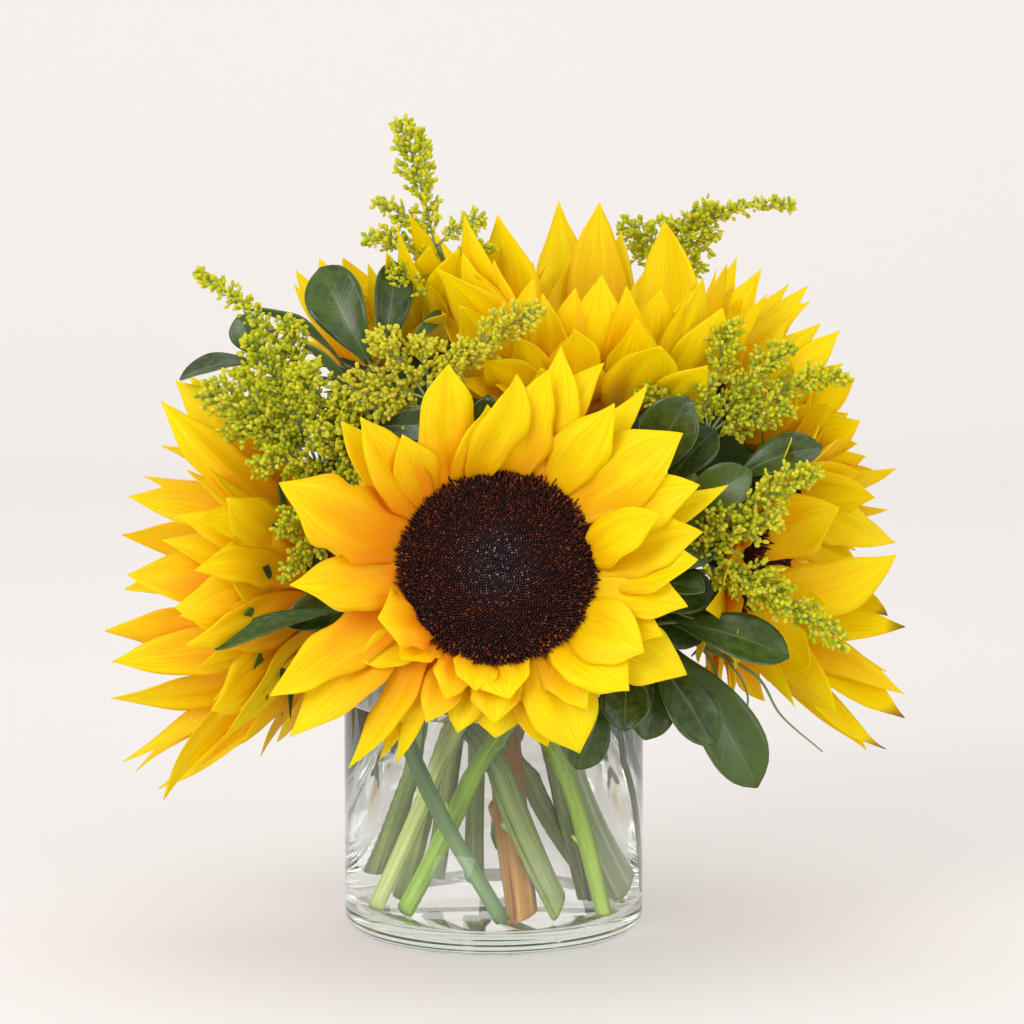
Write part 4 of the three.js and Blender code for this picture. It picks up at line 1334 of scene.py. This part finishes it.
class BOUQUET_OT_blade_leaf(bpy.types.Operator):
    """Make the long blade-shaped leaf at the left"""

    bl_idname = "bouquet.blade_leaf"
    bl_label = "Blade leaf"
    bl_options = {"REGISTER", "UNDO"}

    def execute(self, context):
        sizes = context.scene.bouquet_sizes
        # The blade's skin is ribbed lengthwise, the ribs about 0.8 mm apart on a half width of 6 mm.
        skin = green_material(
            "ribbed_blade_leaf", linear("35502A"), linear("6D8A4E"), roughness=0.4,
            streak_mm=0.8, streak_length_mm=60.0, round_mm=6.0,
        )
        root, tip, width, facing = blade_of("left_blade_leaf", np.array([0.0, -0.05, 0.14]))
        shape = Shape()
        rng = np.random.default_rng(SEEDS["blade_leaf"])
        add_leaf(shape, rng, sizes, root, tip, width * 1.1, facing, curl=0.07)
        show("blade_leaf", shape, skin, "leaves", "left_blade_leaf")
        return {"FINISHED"}


# The vase's wall, the thickness of its foot at the side and its rounded heel, rim and inner corner, all in
# millimetres, and how many flats stand for its round.
WALL, FLOOR, HEEL, RIM, CORNER, AROUND = 4.0, 9.5, 8.0, 2.0, 7.0, 160


class BOUQUET_OT_vase(bpy.types.Operator):
    """Make the glass cylinder with its rounded heel and rim and thick foot"""

    bl_idname = "bouquet.vase"
    bl_label = "Vase"
    bl_options = {"REGISTER", "UNDO"}

    def execute(self, context):
        looks = context.scene.bouquet_looks
        low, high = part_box("vase")
        radius = (high.x - low.x) / 2 / MM
        height = high.z / MM
        inner = radius - WALL
        # It stands on a ring, because the foot is hollowed a little underneath.
        profile = [(0, 1.2), (radius - 16, 1.0), (radius - 12, 0.25), (radius - HEEL, 0.0)]
        profile += arc(radius - HEEL, HEEL, HEEL, -90, 0, 13)[1:]
        profile += arc(radius - RIM, height - RIM, RIM, 0, 180, 13)
        profile += arc(inner - CORNER, FLOOR + CORNER, CORNER, 0, -90, 13)
        profile += [(inner - 14, FLOOR - 0.1), (0, FLOOR - 0.5)]
        shape = Shape()
        add_turned(shape, np.array(profile) * MM, AROUND)
        material = clear_material(
            "pressed_soda_lime_glass", looks.glass, index=1.5, tint="9CC8A4", density=3.2,
        )
        show("glass_vase", shape, material, "glass", "vase")
        return {"FINISHED"}


class BOUQUET_OT_water(bpy.types.Operator):
    """Make the water with its meniscus at the glass"""

    bl_idname = "bouquet.water"
    bl_label = "Water"
    bl_options = {"REGISTER", "UNDO"}

    def execute(self, context):
        looks, sizes = context.scene.bouquet_looks, context.scene.bouquet_sizes
        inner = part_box("vase")[1].x / MM - WALL
        level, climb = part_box("water")[1].z / MM, sizes.meniscus / MM
        # The water reaches a little into the glass, so that no film of air is left between them.
        overlap = 0.25
        profile = [(0, FLOOR - 0.5 - overlap), (inner - 14, FLOOR - 0.1 - overlap)]
        profile += arc(inner - CORNER, FLOOR + CORNER, CORNER + overlap, -90, 0, 11)
        profile += [
            (inner + overlap, level + climb), (inner - 0.4, level + 0.55 * climb),
            (inner - 1.0, level + 0.26 * climb), (inner - 2.0, level + 0.07 * climb),
            (inner - 3.5, level), (0, level),
        ]
        shape = Shape()
        add_turned(shape, np.array(profile) * MM, AROUND)
        material = clear_material("still_water", looks.water, index=1.333, tint="DDEEE6", density=0.5)
        show("vase_water", shape, material, "water", "water")
        return {"FINISHED"}


# The soft boxes: name, place and what it is aimed at in metres, and power in watts.
SOFT_BOXES = (
    ("key", (-1.7, -2.4, 1.6), (0, 0, 0.15), 54.0),
    ("fill", (1.9, -2.2, 1.0), (0, 0, 0.15), 20.0),
    ("top", (0.2, 0.5, 2.4), (0, 0, 0.15), 8.0),
    ("back", (-0.2, 0.9, 2.6), (0, 1.9, 0.2), 6.0),
)
SOFT_BOX_SIDE = 1.8
CAMERA_PLACE, CAMERA_TARGET, CAMERA_LENS = (0.008, -1.8, 0.415), (0.008, 0.0, 0.1835), 146.5


class BOUQUET_OT_stage(bpy.types.Operator):
    """Set the background paper, the soft lights and the camera"""

    bl_idname = "bouquet.stage"
    bl_label = "Stage"
    bl_options = {"REGISTER", "UNDO"}

    def execute(self, context):
        looks = context.scene.bouquet_looks
        scene = bpy.context.scene
        scene.view_settings.view_transform = "Standard"
        scene.view_settings.look = "None"
        self.paper(looks)
        self.world(scene)
        for name, place, target, power in SOFT_BOXES:
            self.light(name, place, target, power)
        self.camera(scene)
        # Light has to pass the glass and the water many times before it leaves the vase.
        light_paths = scene.cycles
        light_paths.max_bounces = 32
        light_paths.glossy_bounces = 16
        light_paths.transmission_bounces = 32
        light_paths.transparent_max_bounces = 32
        if scene.camera is None:
            raise RuntimeError("the stage has no camera")
        return {"FINISHED"}

    def paper(self, looks):
        """One sheet of paper that runs along the floor and sweeps up behind, 0.2 mm below the vase."""
        front, depth, sweep, top, half_width, gap = -3.0, 1.6, 0.9, 4.0, 4.0, 0.0002
        side = [(front, 0.0), *arc(depth, sweep, sweep, -90, 0, 16), (depth + sweep, top)]
        points = np.array([[(x, y, z) for x in (-half_width, 0.0, half_width)] for y, z in side])
        shape = Shape()
        shape.add(points, [grid_faces(*points.shape[:2])])
        paper = bpy.data.objects.new("paper", shape.mesh("paper", paper_material(looks)))
        bpy.context.scene.collection.objects.link(paper)
        paper.location.z = -gap

    def world(self, scene):
        """An even, nearly white light from all round."""
        world = bpy.data.worlds.new("studio")
        world.use_nodes = True
        back = world.node_tree.nodes["Background"]
        back.inputs["Color"].default_value = (*linear("FFFEFD"), 1.0)
        back.inputs["Strength"].default_value = 0.78
        scene.world = world

    def light(self, name, place, target, power):
        """One square soft box."""
        data = bpy.data.lights.new(name, "AREA")
        data.size, data.energy = SOFT_BOX_SIDE, power
        self.aimed(name, data, place, target)

    def camera(self, scene):
        """A long lens a little above the flowers."""
        data = bpy.data.cameras.new("camera")
        data.lens, data.sensor_width = CAMERA_LENS, 36.0
        scene.camera = self.aimed("camera", data, CAMERA_PLACE, CAMERA_TARGET)

    def aimed(self, name, data, place, target):
        """A light or camera at its place, aimed at its target."""
        item = bpy.data.objects.new(name, data)
        item.location = place
        aim = Vector(target) - Vector(place)
        item.rotation_euler = aim.to_track_quat("-Z", "Y").to_euler()
        bpy.context.scene.collection.objects.link(item)
        return item


OPERATORS = (
    BOUQUET_OT_stage, BOUQUET_OT_vase, BOUQUET_OT_water, BOUQUET_OT_petals, BOUQUET_OT_discs,
    BOUQUET_OT_calyces, BOUQUET_OT_stems, BOUQUET_OT_goldenrod, BOUQUET_OT_sprigs, BOUQUET_OT_blade_leaf,
    BOUQUET_OT_greens,
)


class BOUQUET_PT_panel(bpy.types.Panel):
    """The bouquet's pieces and settings."""

    bl_idname = "BOUQUET_PT_panel"
    bl_label = "Sunflower Bouquet"
    bl_space_type = "VIEW_3D"
    bl_region_type = "UI"
    bl_category = "Bouquet"

    def draw(self, context):
        for operator in OPERATORS:
            self.layout.operator(operator.bl_idname)
        for group in (context.scene.bouquet_looks, context.scene.bouquet_sizes):
            for key in group.bl_rna.properties.keys():
                if key not in ("rna_type", "name"):
                    self.layout.prop(group, key)


CLASSES = (BouquetLooks, BouquetSizes, *OPERATORS, BOUQUET_PT_panel)


def register():
    """Adds the operators, the panel and the settings to Blender."""
    for item in CLASSES:
        bpy.utils.register_class(item)
    bpy.types.Scene.bouquet_looks = PointerProperty(type=BouquetLooks)
    bpy.types.Scene.bouquet_sizes = PointerProperty(type=BouquetSizes)


def unregister():
    """Takes them away again."""
    del bpy.types.Scene.bouquet_looks
    del bpy.types.Scene.bouquet_sizes
    for item in reversed(CLASSES):
        bpy.utils.unregister_class(item)


def main():
    """Builds the bouquet and its stage."""
    register()
    for operator in OPERATORS:
        group, name = operator.bl_idname.split(".")
        getattr(getattr(bpy.ops, group), name)()


if __name__ == "__main__":
    main()
